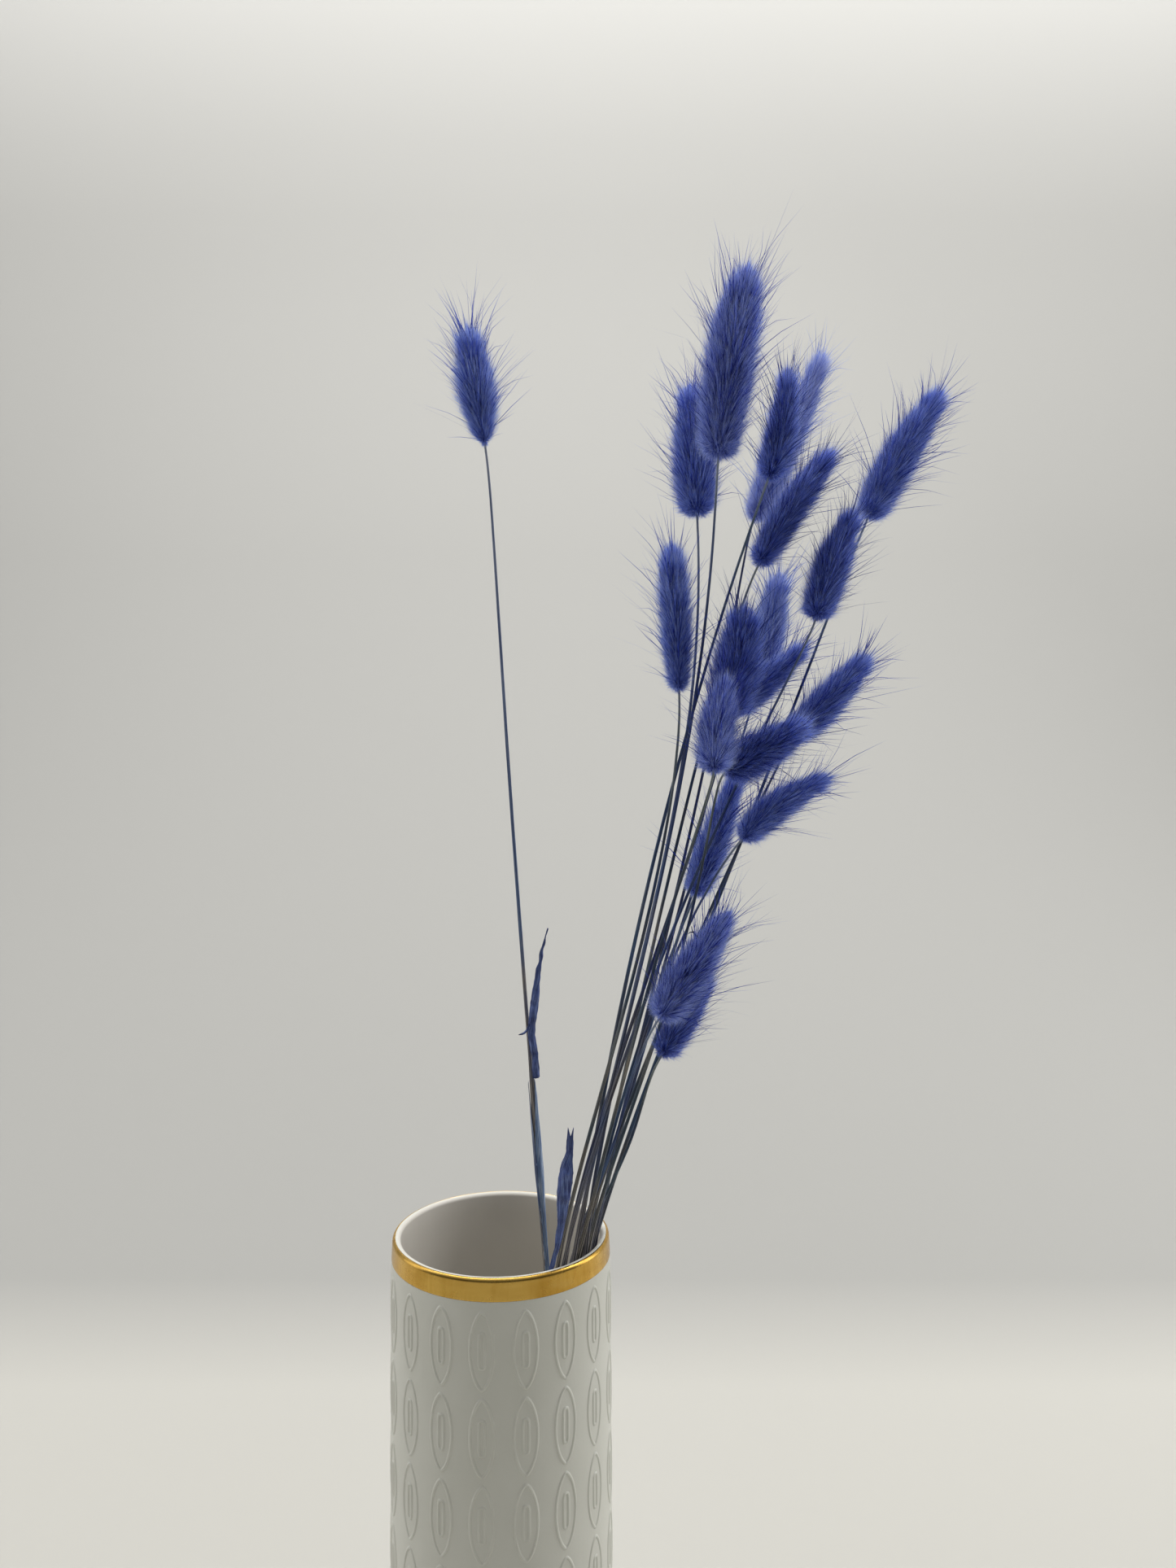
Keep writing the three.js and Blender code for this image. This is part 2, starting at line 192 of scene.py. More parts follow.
# Hairs. The values in WISP_OR_OTHER are for a wisp, which stands out of the coat, and for another hair. Each
# strand is flat, and its tone is its column on the map, where it has a mark for each of its points.
WISP_SHARE = 0.4
WISP_REACH = 0.42
# A wisp's raised tone is painted light: the glow of the fringe lit from behind
WISP_OR_OTHER = dict(spread=(0.5, 0.18), rise=(1.3, 1), width=(0.6, 1), tone=(0.5, 0))
HAIR_SHIFT = 0.7
HAIR_REACH = (0.9, 1.06)
HAIR_RISE = 4.0
HAIR_RISES = (0.85, 1.15)
HAIR_WIDTH = 0.13
HAIR_WIDTHS = (0.8, 1.25)
HAIR_BULGE = (0.04, 0.05)
HAIR_NARROWS = (1, 0.8)
HAIR_MARKS = (0.02, 0.5, 0.98)
CLOSING = 1.5
LOWEST_ROOTS = (0.02, 0.09)
ROOT_LEAST = 0.25
ROOT_TWIST = 0.04
BRUSH = 3.2
BRUSH_FROM = 0.85
HAIR_TONE = (0.29, 0.13)
# Painted light: hairs near the base of a head and toward its tip are made paler
BASE_PALER = 0.26
BASE_PALE_TO = 0.12
TIP_PALER = 0.6
TIP_PALE_FROM = 0.5
BRIGHT_SHARE = 0.24
BRIGHT_TONE = 0.5
SHADES = 32
COLUMN_EDGES = (0.2, 0.8)

# Awns: so many on a head of this area, and the room round the CAD's box that they stay in
AWNS = 340
AWN_AREA = 250
AWN_ROOM = 8
AWN_STARTS = (0.02, 0.92)
AWN_RUN = (6, 15)
AWN_RUN_POWER = 1.2
AWN_ROOT = 0.3
AWN_LEAN = (42, 10)
AWN_ASIDE = 0.14
AWN_BEND = 0.009
AWN_SHARES = (0, 0.3, 0.6, 1)
AWN_NARROWS = (1, 0.9, 0.7)
AWN_WIDTHS = (0.15, 0.24)
AWN_TONE = (0.06, 0.08)
AWN_MARKS = (0.2, 0.36, 0.5, 0.66)

# One stem with its head: base and tip of the head, its radius, where it is widest, how far it curves,
# its place on the rim, the lean of its foot, the stiffness of its neck, its bow, and its dyes
LONE = dict(id=1, base=(-4, -6, 445), tip=(-9, -10, 479), radius=6.4, belly=0.5, base_share=0.25,
            bluntness=1.4, fuller=0, waist=(13, 6, 200), foot=(27, 7, 5), neck=0.35, bow=(-1, 0),
            dye="azure", stem="ash")
FAN_KEYS = ("id", "base", "tip", "radius", "belly", "curve", "row", "place", "lean", "neck", "bow",
            "dye", "stem")
FAN_ROWS = [
    (2, (66, -16, 438), (74, -22, 492.5), 7.8, 0.6, 1.0, "outer", 3, 0.9, 0.35, (6, 4), "lavender", "slate"),
    (3, (62, 8, 426), (60, 12, 468), 7.2, BELLY, 0, "outer", 6, 0.6, 1.0, (2, 6), "royal", "slate"),
    (4, (82, -8, 434), (87, -12, 466), 5.4, BELLY, -1.5, "inner", 5, 0.6, 0.2, (-2, 6), "navy", "teal"),
    (5, (81, 16, 426), (105, 24, 482), 5.8, BELLY, 0, "outer", 14, 0.9, 0.2, (4, 6), "mist", "ink"),
    (6, (80, -2, 409), (104, 2, 445), 5.6, 0.5, 1.2, "inner", 13, 0.9, 0.35, (0, 6), "navy", "olive"),
    (7, (117, 12, 426), (141, 14, 467), 6.5, BELLY, 1.2, "outer", 12, 0.8, 0.5, (3, 4), "royal", "teal"),
    (8, (97, -6, 392), (110, -2, 426), 6.2, BELLY, 1, "outer", 1, 1.0, 0.2, (-2, 4), "navy", "slate"),
    (9, (55, -10, 370), (52.5, -12, 414), 5.3, 0.7, 0, "outer", 0, 1.1, 0.5, (2, -6), "azure", "olive"),
    (10, (84, 25, 375), (92, 29, 411), 6.2, BELLY, 0, "outer", 13, 0.65, 0.35, (0, -2), "sky", "slate"),
    (11, (70.3, -9, 362), (75.3, -9, 395.5), 7.6, 0.5, 0, "inner", 2, 0.55, 0.35, (2, 6), "navy", "ink"),
    (12, (63, -34, 346), (68, -22, 374), 6.1, BELLY, 0.7, "outer", 4, 1.1, 0.2, (-2, 2), "lavender", "olive"),
    (13, (75, 12, 365), (97, 9, 385.3), 5.4, BELLY, 0, "outer", 11, 0.6, 0.2, (4, 4), "royal", "ink"),
    (14, (69, -13, 345.3), (92, -25, 360.2), 6.7, BELLY, 0, "outer", 7, 0.7, 0.2, (6, -4), "navy", "olive"),
    (15, (93, 2, 357), (116, 4, 381.5), 6.0, BELLY, 0, "inner", 7, 0.6, 0.2, (0, -6), "royal", "umber"),
    (16, (74, -12, 325), (102, -6, 343.5), 5.4, BELLY, 2.2, "outer", 9, 0.6, 0.5, (-2, 2), "royal", "slate"),
    (17, (61, 2, 306), (75, 4, 345), 5.5, BELLY, 0, "inner", 9, 0.7, 0.2, (-2, -4), "royal", "teal"),
    (18, (48, -28, 274), (69, -26, 305), 6.4, BELLY, 0, "inner", 4, 0.8, 1.0, (4, 6), "lavender", "slate"),
    (19, (49.5, -16, 260), (64.5, -12, 284), 5.3, BELLY, 0, "inner", 10, 1.1, 1.0, (4, 4), "navy", "olive"),
]
STEMS = [LONE] + [dict(zip(FAN_KEYS, row)) for row in FAN_ROWS]

# Each leaf's strips: the line along the middle, then half widths, the depth of the curl, turns in degrees
# and how deep the end is forked
LEAVES = {
    "leaf_01": [
        dict(line=[(11, 4.4, 247.5), (10.4, 2.6, 255), (9.5, 1.9, 263), (10.4, 2.1, 271),
                   (11.8, 2.6, 281), (13, 3.1, 289), (14.6, 3.6, 295.5)],
             half_widths=[1.2, 1.25, 1.45, 1.5, 1.15, 0.9, 0.3], curl=0.6,
             turns=[30, -10, 20, 0, 40, 70, 90], fork=0.4),
        dict(line=[(9.6, 1.6, 266), (8.3, 1.2, 263.8), (6.9, 0.8, 262.6), (5.6, 0.6, 262.2)],
             half_widths=[0.4, 0.36, 0.28, 0.1], curl=0.2, turns=[0, 10, 20, 30], fork=0.3),
    ],
    "leaf_02": [
        dict(line=[(15.2, -24.6, 190), (17.0, -25.2, 200), (18.6, -25.6, 207), (19.6, -26, 214),
                   (20.3, -26, 221), (20.8, -25.6, 228), (22, -25, 234), (22.3, -24.6, 240)],
             half_widths=[0.6, 0.8, 0.9, 1.3, 2.1, 2.1, 1.05, 0.8], curl=0.7,
             turns=[60, 40, 20, 0, 10, -10, 20, 10], fork=2.6),
    ],
}

# A bit of broken twig that is caught in the fur of one head: two arms, thick where they meet
TWIG_ARMS = [
    [(60.8, -26.8, 296.6), (58.8, -27, 298.2), (57.8, -27.2, 299.4), (57.4, -27.3, 300.9)],
    [(58, -27.1, 299.1), (57.2, -27, 299.1), (56.5, -26.8, 298.6)],
]
TWIG_RADII = (0.22, 0.1)
TWIG_STEPS = 12
TWIG_SIDES = 6

# Camera: at the photograph's viewing angle, which takes in the upper part of the vase only
CAMERA_PLACE = (27.4, -367.7, 353.3)
CAMERA_DIP = 1.86
CAMERA_LENS = 27.03
CAMERA_SENSOR = 36
CAMERA_NEAREST = 0.01

# Light all round, which fades between two places on an axis of the sky: from front to back, and up to
# overhead. The plain background that shows has a strength of its own.
SKY_LIGHT = {"Y": ((-0.7, 0.9), (0.06, 0.35)), "Z": ((0.3, 1.0), (0, 0.42))}
SKY_TINT = (1.0, 1.0, 0.98, 1)
SEEN_LIGHT = 0.56

# Soft lights, in metres and watts: each one's place, what it points at, its size and its power
AREA_LIGHTS = {
    "left": ((-1.0, 0.1, 0.7), (0, 0, 0.25), (0.5, 1.2), 2.25),
    "right": ((1.0, 0.25, 0.7), (0, 0, 0.25), (0.5, 1.2), 4.2),
    "top": ((0, 0, 1.1), (0, 0, 0), (0.9, 0.4), 2),
    "back": ((0, 1.0, 1.7), (0, 0, 0.3), (1.2, 0.6), 2.5),
    "wall": ((0.3, 0.7, 2.4), (0.25, 1.6, 1.6), (3.6, 0.4), 56),
}

# The floor in front of the vase, the start, radius and height of the sweep behind it, and half its width
STAGE_FRONT = -2500
SWEEP_START = 340
SWEEP_RADIUS = 1200
SWEEP_STEPS = 30
WALL_ABOVE_SWEEP = 600
STAGE_HALF_WIDTH = 3000

# Painted shade on the stage: it gets darker and then lighter with the distance behind the vase, in metres
STAGE_DEPTH = 2
STAGE_PAINTED_SHADES = [(0.27, (201, 199, 192)), (0.4, (173, 172, 168)), (1.0, (182, 181, 177)),
                (1.4, (187, 186, 182)), (1.53, (195, 194, 190))]

# Where the floor in front begins to glow and where it glows in full, in metres, and how strongly
FAR_REACH = (-0.6, -2.4)
FAR_GLOW = 0.3


def colour(red, green, blue):
    """A colour on the screen's scale of 0 to 255, as the linear colour that Blender works in."""
    parts = []
    for value in (red, green, blue):
        value = value / 255
        parts.append(value / 12.92 if value <= 0.04045 else ((value + 0.055) / 1.055) ** 2.4)
    return (*parts, 1)


def unit(v):
    v = np.asarray(v, float)
    return v / np.linalg.norm(v, axis=-1, keepdims=True)


# Node materials
class Nodes:
    """A new node material or world, with short ways to add and join its nodes."""

    def __init__(self, name, world=False):
        self.block = (bpy.data.worlds if world else bpy.data.materials).new(name)
        self.block.use_nodes = True
        self.tree = self.block.node_tree
        self.shader = self.tree.nodes["Background" if world else "Principled BSDF"]

    def add(self, kind, **values):
        node = self.tree.nodes.new(kind)
        for key, value in values.items():
            if key in node.inputs:
                node.inputs[key].default_value = value
            else:
                setattr(node, key, value)
        return node

    def join(self, source, target):
        self.tree.links.new(source, target)

    def set(self, **values):
        for key, value in values.items():
            self.shader.inputs[key.replace("_", " ")].default_value = value

    def noise(self, scale, stretch=(1, 1, 1), detail=4.0, roughness=0.55, space="Object"):
        where = self.add("ShaderNodeTexCoord").outputs[space]
        mapping = self.add("ShaderNodeMapping", Scale=stretch)
        texture = self.add("ShaderNodeTexNoise", Scale=scale, Detail=detail, Roughness=roughness)
        self.join(where, mapping.inputs["Vector"])
        self.join(mapping.outputs["Vector"], texture.inputs["Vector"])
        return texture.outputs["Fac"]

    def ramp(self, value, stops):
        """Stops are places from 0 to 1, each with a colour on the screen's scale."""
        stops = list(stops)
        node = self.add("ShaderNodeValToRGB")
        elements = node.color_ramp.elements
        while len(elements) < len(stops):
            elements.new(0.5)
        for element, (place, shade) in zip(elements, stops):
            element.position = place
            element.color = colour(*shade)
        self.join(value, node.inputs["Fac"])
        return node.outputs["Color"]

    def mix(self, factor, first, second, blend="MIX"):
        node = self.add("ShaderNodeMix", data_type="RGBA", blend_type=blend)
        sockets = {s.identifier: s for s in node.inputs}
        for key, value in (("Factor_Float", factor), ("A_Color", first), ("B_Color", second)):
            if hasattr(value, "default_value"):
                self.join(value, sockets[key])
            else:
                sockets[key].default_value = value
        return {s.identifier: s for s in node.outputs}["Result_Color"]

    def span(self, value, low, high, start=0, end=1, kind="LINEAR"):
        ends = {"To Min": low, "To Max": high, "From Min": start, "From Max": end}
        node = self.add("ShaderNodeMapRange", interpolation_type=kind, **ends)
        self.join(value, node.inputs["Value"])
        return node.outputs["Result"]

    def split(self, place):
        node = self.add("ShaderNodeSeparateXYZ")
        self.join(place, node.inputs["Vector"])
        return node.outputs

    def bump(self, height, strength, distance):
        node = self.add("ShaderNodeBump", Strength=strength, Distance=distance)
        self.join(height, node.inputs["Height"])
        self.join(node.outputs["Normal"], self.shader.inputs["Normal"])

    def base(self, shade):
        self.join(shade, self.shader.inputs["Base Color"])

    def roughness(self, value):
        self.join(value, self.shader.inputs["Roughness"])


# The glaze outside and inside: its two shades, its roughness, and whether its surface is uneven
GLAZES = {
    "porcelain": ((224, 224, 214), (229, 229, 220), (0.3, 0.42), True),
    "porcelain_inside": ((223, 218, 208), (229, 224, 214), (0.42, 0.56), False),
}


def glaze_material(name):
    dark, light, roughness, uneven = GLAZES[name]
    m = Nodes(name)
    m.base(m.ramp(m.noise(35, detail=3), [(0.3, dark), (0.7, light)]))
    m.roughness(m.span(m.noise(220), *roughness))
    if uneven:
        m.bump(m.noise(900, detail=3), 0.12, 0.0002)
    return m.block


def gold_material():
    m = Nodes("gold")
    m.set(Metallic=1.0)
    strokes = m.noise(60, stretch=(1, 1, 6), detail=5)
    laps = m.noise(45, stretch=(1, 1, 0.2), detail=6, roughness=0.65)
    shade = m.ramp(strokes, [(0.25, (196, 150, 62)), (0.55, (218, 174, 82)), (0.8, (232, 196, 116))])
    m.base(m.mix(0.5, shade, m.ramp(laps, [(0.4, (174, 128, 46)), (0.56, (228, 190, 104))])))
    m.roughness(m.span(m.noise(150), 0.2, 0.34))
    m.bump(m.noise(420), 0.1, 0.0002)
    return m.block


# The dyes of the stems as dark, middle and light streaks, and how bright the undyed straw at their feet is.
# The sheath has no straw.
STEM_DYES = {
    "slate": ([(34, 50, 90), (92, 112, 152), (170, 186, 212)], 0.9),
    "ink": ([(22, 34, 74), (54, 70, 116), (120, 136, 176)], 0.6),
    "teal": ([(36, 58, 88), (88, 116, 142), (164, 184, 198)], 0.8),
    "olive": ([(46, 58, 64), (104, 118, 122), (176, 184, 178)], 1.0),
    "umber": ([(44, 50, 62), (98, 106, 116), (172, 176, 174)], 1.25),
    "ash": ([(66, 80, 120), (116, 130, 166), (190, 200, 220)], 1.2),
    "sheath": ([(74, 100, 150), (122, 150, 194), (188, 206, 228)], 0),
}
STRAW = [(24, 23, 21), (100, 93, 83), (204, 190, 170)]
STREAK_PLACES = (0.4, 0.5, 0.59)

# Along a stem, at shares of the way up: painted shade that darkens and blues its dye low down and most in
# the crowded middle of the bundle, where its neck gets paler, and how the straw fades. The lone stem's
# middle is lighter, with less painted shade.
LOW_PAINTED_SHADE = (158, 180, 208)
MIDDLE_PAINTED_SHADE = (74, 110, 172)
LONE_MIDDLE_PAINTED_SHADE = (196, 208, 228)
PAINTED_SHADE_PLACES = (0.46, 0.66, 0.92)
NECK_SHADE = (196, 202, 214)
NECK_FADE = [(0.86, (0, 0, 0)), (0.99, (178, 178, 178))]
STRAW_FADE = [(0.06, (0, 0, 0)), (0.28, (220, 220, 220))]
STRAW_SLOPE = -0.9
WHITE = (255, 255, 255)


def along_stem(m, body, straw, middle):
    """Dye darkened by painted shade, most at the middle of a stem, and pale at its neck, over straw at its
    foot.
    """
    height = m.split(m.add("ShaderNodeTexCoord").outputs["UV"])["Y"]
    # Painted shade: the dye is multiplied by a darker tint low down and in the middle of the stem
    painted_shade = m.ramp(height, zip(PAINTED_SHADE_PLACES, (LOW_PAINTED_SHADE, middle, WHITE)))
    pale = m.ramp(height, NECK_FADE)
    slope = m.add("ShaderNodeMath", operation="MULTIPLY_ADD")
    m.join(height, slope.inputs[0])
    slope.inputs[1].default_value = STRAW_SLOPE
    m.join(m.noise(38, detail=3), slope.inputs[2])
    shaded_dye = m.mix(pale, m.mix(1.0, body, painted_shade, "MULTIPLY"), colour(*NECK_SHADE))
    return m.mix(m.ramp(slope.outputs["Value"], STRAW_FADE), shaded_dye, straw)


def stem_material(name):
    """Lengthwise streaks of dye and of straw."""
    dyes, bright = STEM_DYES[name]
    m = Nodes("stem_" + name)
    streaks = m.noise(6, stretch=(7, 1.2, 1), detail=6, space="UV")
    body = m.ramp(streaks, zip(STREAK_PLACES, dyes))
    if bright:
        straws = [[min(255, v * bright) for v in shade] for shade in STRAW]
        straw = m.ramp(streaks, zip(STREAK_PLACES, straws))
        body = along_stem(m, body, straw, LONE_MIDDLE_PAINTED_SHADE if name == "ash" else MIDDLE_PAINTED_SHADE)
    m.base(body)
    m.roughness(m.span(streaks, 0.5, 0.7))
    m.bump(streaks, 0.6, 0.0003)
    return m.block


def leaf_material():
    m = Nodes("dyed_leaf")
    veins = m.noise(7, stretch=(14, 1, 1), detail=5, space="UV")
    blotches = m.noise(260, detail=4)
    body = m.ramp(veins, [(0.42, (14, 24, 78)), (0.5, (50, 76, 160)), (0.6, (160, 180, 226))])
    stain = m.ramp(blotches, [(0.42, (22, 34, 92)), (0.6, (90, 116, 186))])
    m.base(m.mix(0.4, body, stain))
    m.roughness(m.span(blotches, 0.5, 0.75))
    m.bump(veins, 0.7, 0.0004)
    return m.block


# The dyes of the fluff, from deep in the fur to the tips of the hairs, for the darkest and the lightest hair.
# They run from dark deep in the fur to light at the tips, which is painted shade and painted light as well as
# dye.
FLUFF_DYE_AND_PAINTED_SHADE = {
    "navy": ([(2, 9, 66), (9, 28, 142), (84, 118, 240)],
             [(38, 64, 204), (114, 150, 255), (228, 240, 255)]),
    "royal": ([(5, 14, 88), (26, 54, 184), (118, 154, 255)],
              [(54, 86, 216), (142, 174, 255), (236, 246, 255)]),
    "azure": ([(5, 15, 94), (32, 62, 194), (134, 170, 255)],
              [(66, 98, 226), (160, 190, 255), (242, 249, 255)]),
    "lavender": ([(5, 12, 88), (28, 50, 180), (140, 166, 255)],
                 [(68, 94, 226), (166, 190, 255), (244, 250, 255)]),
    "mist": ([(58, 80, 164), (132, 156, 236), (214, 226, 255)],
             [(146, 168, 246), (216, 226, 255), (250, 252, 255)]),
    "sky": ([(26, 46, 128), (88, 118, 218), (190, 208, 255)],
            [(108, 138, 234), (194, 212, 255), (246, 250, 255)]),
}
ROOT_TO_TIP_PLACES = (0.18, 0.64, 0.97)
LIT_HAIR = (190, 206, 255)
SEE_THROUGH = 0.58


def fluff_material(name):
    """The shade of a hair comes from its place on the map: across is hair to hair, up is root to tip."""
    m = Nodes("fluff_" + name)
    place = m.split(m.add("ShaderNodeUVMap", uv_map="OFBake").outputs["UV"])
    deep, pale = [m.ramp(place["Y"], zip(ROOT_TO_TIP_PLACES, shades)) for shades in FLUFF_DYE_AND_PAINTED_SHADE[name]]
    shade = m.mix(place["X"], deep, pale)
    m.base(shade)
    m.set(Roughness=0.55, Specular_IOR_Level=0.12, Sheen_Weight=0.06, Sheen_Roughness=0.4)
    m.set(Sheen_Tint=colour(170, 180, 255))
    glow = m.add("ShaderNodeBsdfTranslucent")
    both = m.add("ShaderNodeMixShader", Fac=SEE_THROUGH)
    lit = m.span(place["X"], 0.02, 0.5)
    m.join(m.mix(lit, shade, colour(*LIT_HAIR)), glow.inputs["Color"])
    m.join(m.shader.outputs["BSDF"], both.inputs[1])
    m.join(glow.outputs["BSDF"], both.inputs[2])
    m.join(both.outputs["Shader"], m.tree.nodes["Material Output"].inputs["Surface"])
    return m.block


# Painted shade: the core is dark navy to stand for the shade deep inside a head
def core_material():
    m = Nodes("fluff_core")
    m.base(m.ramp(m.noise(500), [(0.3, (16, 20, 66)), (0.7, (34, 42, 106))]))
    m.set(Roughness=0.9)
    return m.block


# Meshes
def new_mesh(name, corners, faces, maps=None):
    """Corners in millimetres, faces that are all triangles or all quads, and a map for the faces' corners."""
    corners = np.asarray(corners, float) * MM
    faces = np.asarray(faces, int)
    count, sides = faces.shape
    mesh = bpy.data.meshes.new(name)
    mesh.vertices.add(len(corners))
    mesh.vertices.foreach_set("co", corners.astype(np.float32).ravel())
    mesh.loops.add(count * sides)
    mesh.loops.foreach_set("vertex_index", faces.astype(np.int32).ravel())
    mesh.polygons.add(count)
    mesh.polygons.foreach_set("loop_start", np.arange(0, count * sides, sides, dtype=np.int32))
    mesh.polygons.foreach_set("use_smooth", np.ones(count, bool))
    if maps is not None:
        layer = mesh.uv_layers.new(name="OFBake")
        layer.data.foreach_set("uv", np.asarray(maps, np.float32).ravel())
    mesh.update(calc_edges=True)
    return mesh


def joined(name, parts):
    """One mesh of several parts, which are given as corners and faces, or as corners, faces and maps."""
    corners, faces, *maps = zip(*parts)
    starts = np.cumsum([0] + [len(part) for part in corners[:-1]])
    faces = [part + start for part, start in zip(faces, starts)]
    return new_mesh(name, *[np.concatenate(group) for group in (corners, faces, *maps)])


def new_object(name, data):
    thing = bpy.data.objects.new(name, data)
    bpy.context.scene.collection.objects.link(thing)
    return thing


def new_piece(name, mesh, material, replaces=()):
    piece = new_object(name, mesh)
    mesh.materials.append(material)
    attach(piece, "root")
    if replaces:
        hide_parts(*replaces)
    return piece


def cells(rows, columns):
    return np.meshgrid(np.arange(rows), np.arange(columns), indexing="ij")


def grid_faces(rows, columns, closed=True):
    """Quads between neighbouring rows of corners. Closed joins the last column to the first."""
    row, column = cells(rows - 1, columns if closed else columns - 1)
    here = row * columns + column
    beside = row * columns + (column + 1) % columns
    return np.stack([here, beside, beside + columns, here + columns], -1).reshape(-1, 4)


def grid_maps(rows, columns):
    """A map for closed grid_faces that fills the unit square: across a row, and up from row to row."""
    row, column = cells(rows - 1, columns)
    u0, u1 = column / columns, (column + 1) / columns
    v0, v1 = row / (rows - 1), (row + 1) / (rows - 1)
    quad = [np.stack(corner, -1) for corner in ((u0, v0), (u1, v0), (u1, v1), (u0, v1))]
    return np.stack(quad, 2).reshape(-1, 2)


def across(along):
    """Two directions across each of the given directions, at right angles to them and to each other."""
    along = np.asarray(along, float)
    side = unit(np.cross((0.0, 1.0, 0.0), along))
    return side, np.cross(along, side)


# Vase
def revolve(profile):
    angles = np.arange(VASE_SIDES) * 2 * math.pi / VASE_SIDES
    profile = np.asarray(profile, float)
    radius, height = profile[:, :1], profile[:, 1:]
    rings = np.stack([radius * np.cos(angles), radius * np.sin(angles), height + 0 * angles], -1)
    return rings.reshape(-1, 3), grid_faces(len(profile), VASE_SIDES)


def outer_radius(z):
    return np.interp(z, [0, FOOT_BEVEL, VASE_HEIGHT / 2, VASE_HEIGHT - BAND_HEIGHT, VASE_HEIGHT - LIP_ROUND],
                     [VASE_RADIUS_FOOT - FOOT_BEVEL, VASE_RADIUS_FOOT, VASE_RADIUS_FOOT, VASE_RADIUS_BAND,
                      VASE_RADIUS_RIM])


def lip_profile(thicker=0.0):
    """The rounded lip, from outside to inside."""
    middle = VASE_RADIUS_RIM - WALL / 2
    half = WALL / 2 + thicker
    rise = LIP_ROUND + thicker
    return [(middle + half * math.cos(t), VASE_HEIGHT - LIP_ROUND + rise * math.sin(t))
            for t in np.linspace(0, math.pi, LIP_STEPS)]


def vase_mesh():
    """The turned body, which has a second material inside from the top of the lip down, and its ornament."""
    inner = VASE_RADIUS_RIM - WALL
    foot = VASE_RADIUS_FOOT - FOOT_BEVEL
    profile = [(POLE, FOOT_RECESS), (foot - FOOT_RING[0], FOOT_RECESS), (foot - FOOT_RING[1], 0), (foot, 0)]
    profile += [(foot + FOOT_BEVEL * math.sin(t), FOOT_BEVEL * (1 - math.cos(t)))
                for t in np.linspace(BEVEL_FROM, math.pi / 2, BEVEL_STEPS)]
    profile += [(outer_radius(z), z) for z in np.linspace(END_MARGIN, VASE_HEIGHT - BAND_HEIGHT, WALL_STEPS)]
    profile += lip_profile()
    inside_from = len(profile) - LIP_STEPS // 2
    profile += [(inner, z) for z in np.linspace(VASE_HEIGHT - END_MARGIN, FLOOR + FOOT_BEVEL, INSIDE_STEPS)]
    profile += [(inner - FOOT_BEVEL, FLOOR), (POLE, FLOOR)]
    body = revolve(profile)
    mesh = joined("vase_body", [body] + [ridge_strip(outline) for outline in ornament_outlines()])
    slots = np.zeros(len(mesh.polygons), np.int32)
    slots[inside_from * VASE_SIDES:len(body[1])] = 1
    mesh.polygons.foreach_set("material_index", slots)
    return mesh


def closed_outline(half, powers, corners):
    turns = np.linspace(0, 2 * math.pi, corners, endpoint=False)
    return np.stack([size * np.sign(wave) * np.abs(wave) ** power
                     for size, wave, power in zip(half, (np.cos(turns), np.sin(turns)), powers)], -1)


def ornament_outlines():
    """Closed outlines of every ornament, as distances round the wall and heights."""
    oval, bar = closed_outline(**OVAL), closed_outline(**BAR)
    pitch = 2 * math.pi * VASE_RADIUS_FOOT / ORNAMENT_COLUMNS
    for row in range(ORNAMENT_ROWS):
        for column in range(ORNAMENT_COLUMNS):
            middle = np.array([(column + 0.5) * pitch, ORNAMENT_TOP - row * ORNAMENT_PITCH])
            yield oval + middle
            yield bar + middle


def ridge_strip(outline):
    """A low rounded ridge along a closed outline on the wall. Its edges lie just under the surface."""
    ahead = np.roll(outline, -1, 0) - np.roll(outline, 1, 0)
    normal = unit(np.stack([ahead[:, 1], -ahead[:, 0]], -1))
    lanes = []
    for place, height in RIDGE_LANES:
        flat = outline + normal * place * RIDGE_WIDTH / 2
        radius = outer_radius(flat[:, 1]) + height * RIDGE_HEIGHT
        angle = flat[:, 0] / VASE_RADIUS_FOOT
        lanes.append(np.stack([radius * np.cos(angle), radius * np.sin(angle), flat[:, 1]], -1))
    return np.concatenate(lanes), grid_faces(len(lanes), len(outline))[:, ::-1]


def gold_mesh():
    """A thin band round the rim and over half of the lip. Both its edges are tucked into the porcelain."""
    lip = lip_profile(GOLD_THICKNESS)[:GOLD_LIP_STEPS]
    low = VASE_HEIGHT - GOLD_HEIGHT
    heights = [low, *np.linspace(low + GOLD_MARGIN, VASE_HEIGHT - LIP_ROUND - 0.2, GOLD_STEPS)]
    profile = [(outer_radius(low) - GOLD_TUCK, low - 0.02)]
    profile += [(outer_radius(z) + GOLD_THICKNESS, z) for z in heights]
    profile += [*lip, (lip[-1][0] - GOLD_TUCK / 2, lip[-1][1] - GOLD_MARGIN)]
    return new_mesh("vase_gold", *revolve(profile))


# Stems
def head_axis(stem, share):
    """Points on the middle line of a head and the direction of growth there, for an array of shares. The
    factor of 4 makes the curve whole at the middle."""
    share = np.asarray(share, float)[..., None]
    base = np.array(stem["base"], float)
    chord = np.array(stem["tip"], float) - base
    aside = unit((-chord[2], 0, chord[0])) * 4 * stem.get("curve", 0)
    point = base + chord * share + aside * share * (1 - share)
    return point, unit(chord + aside * (1 - 2 * share))


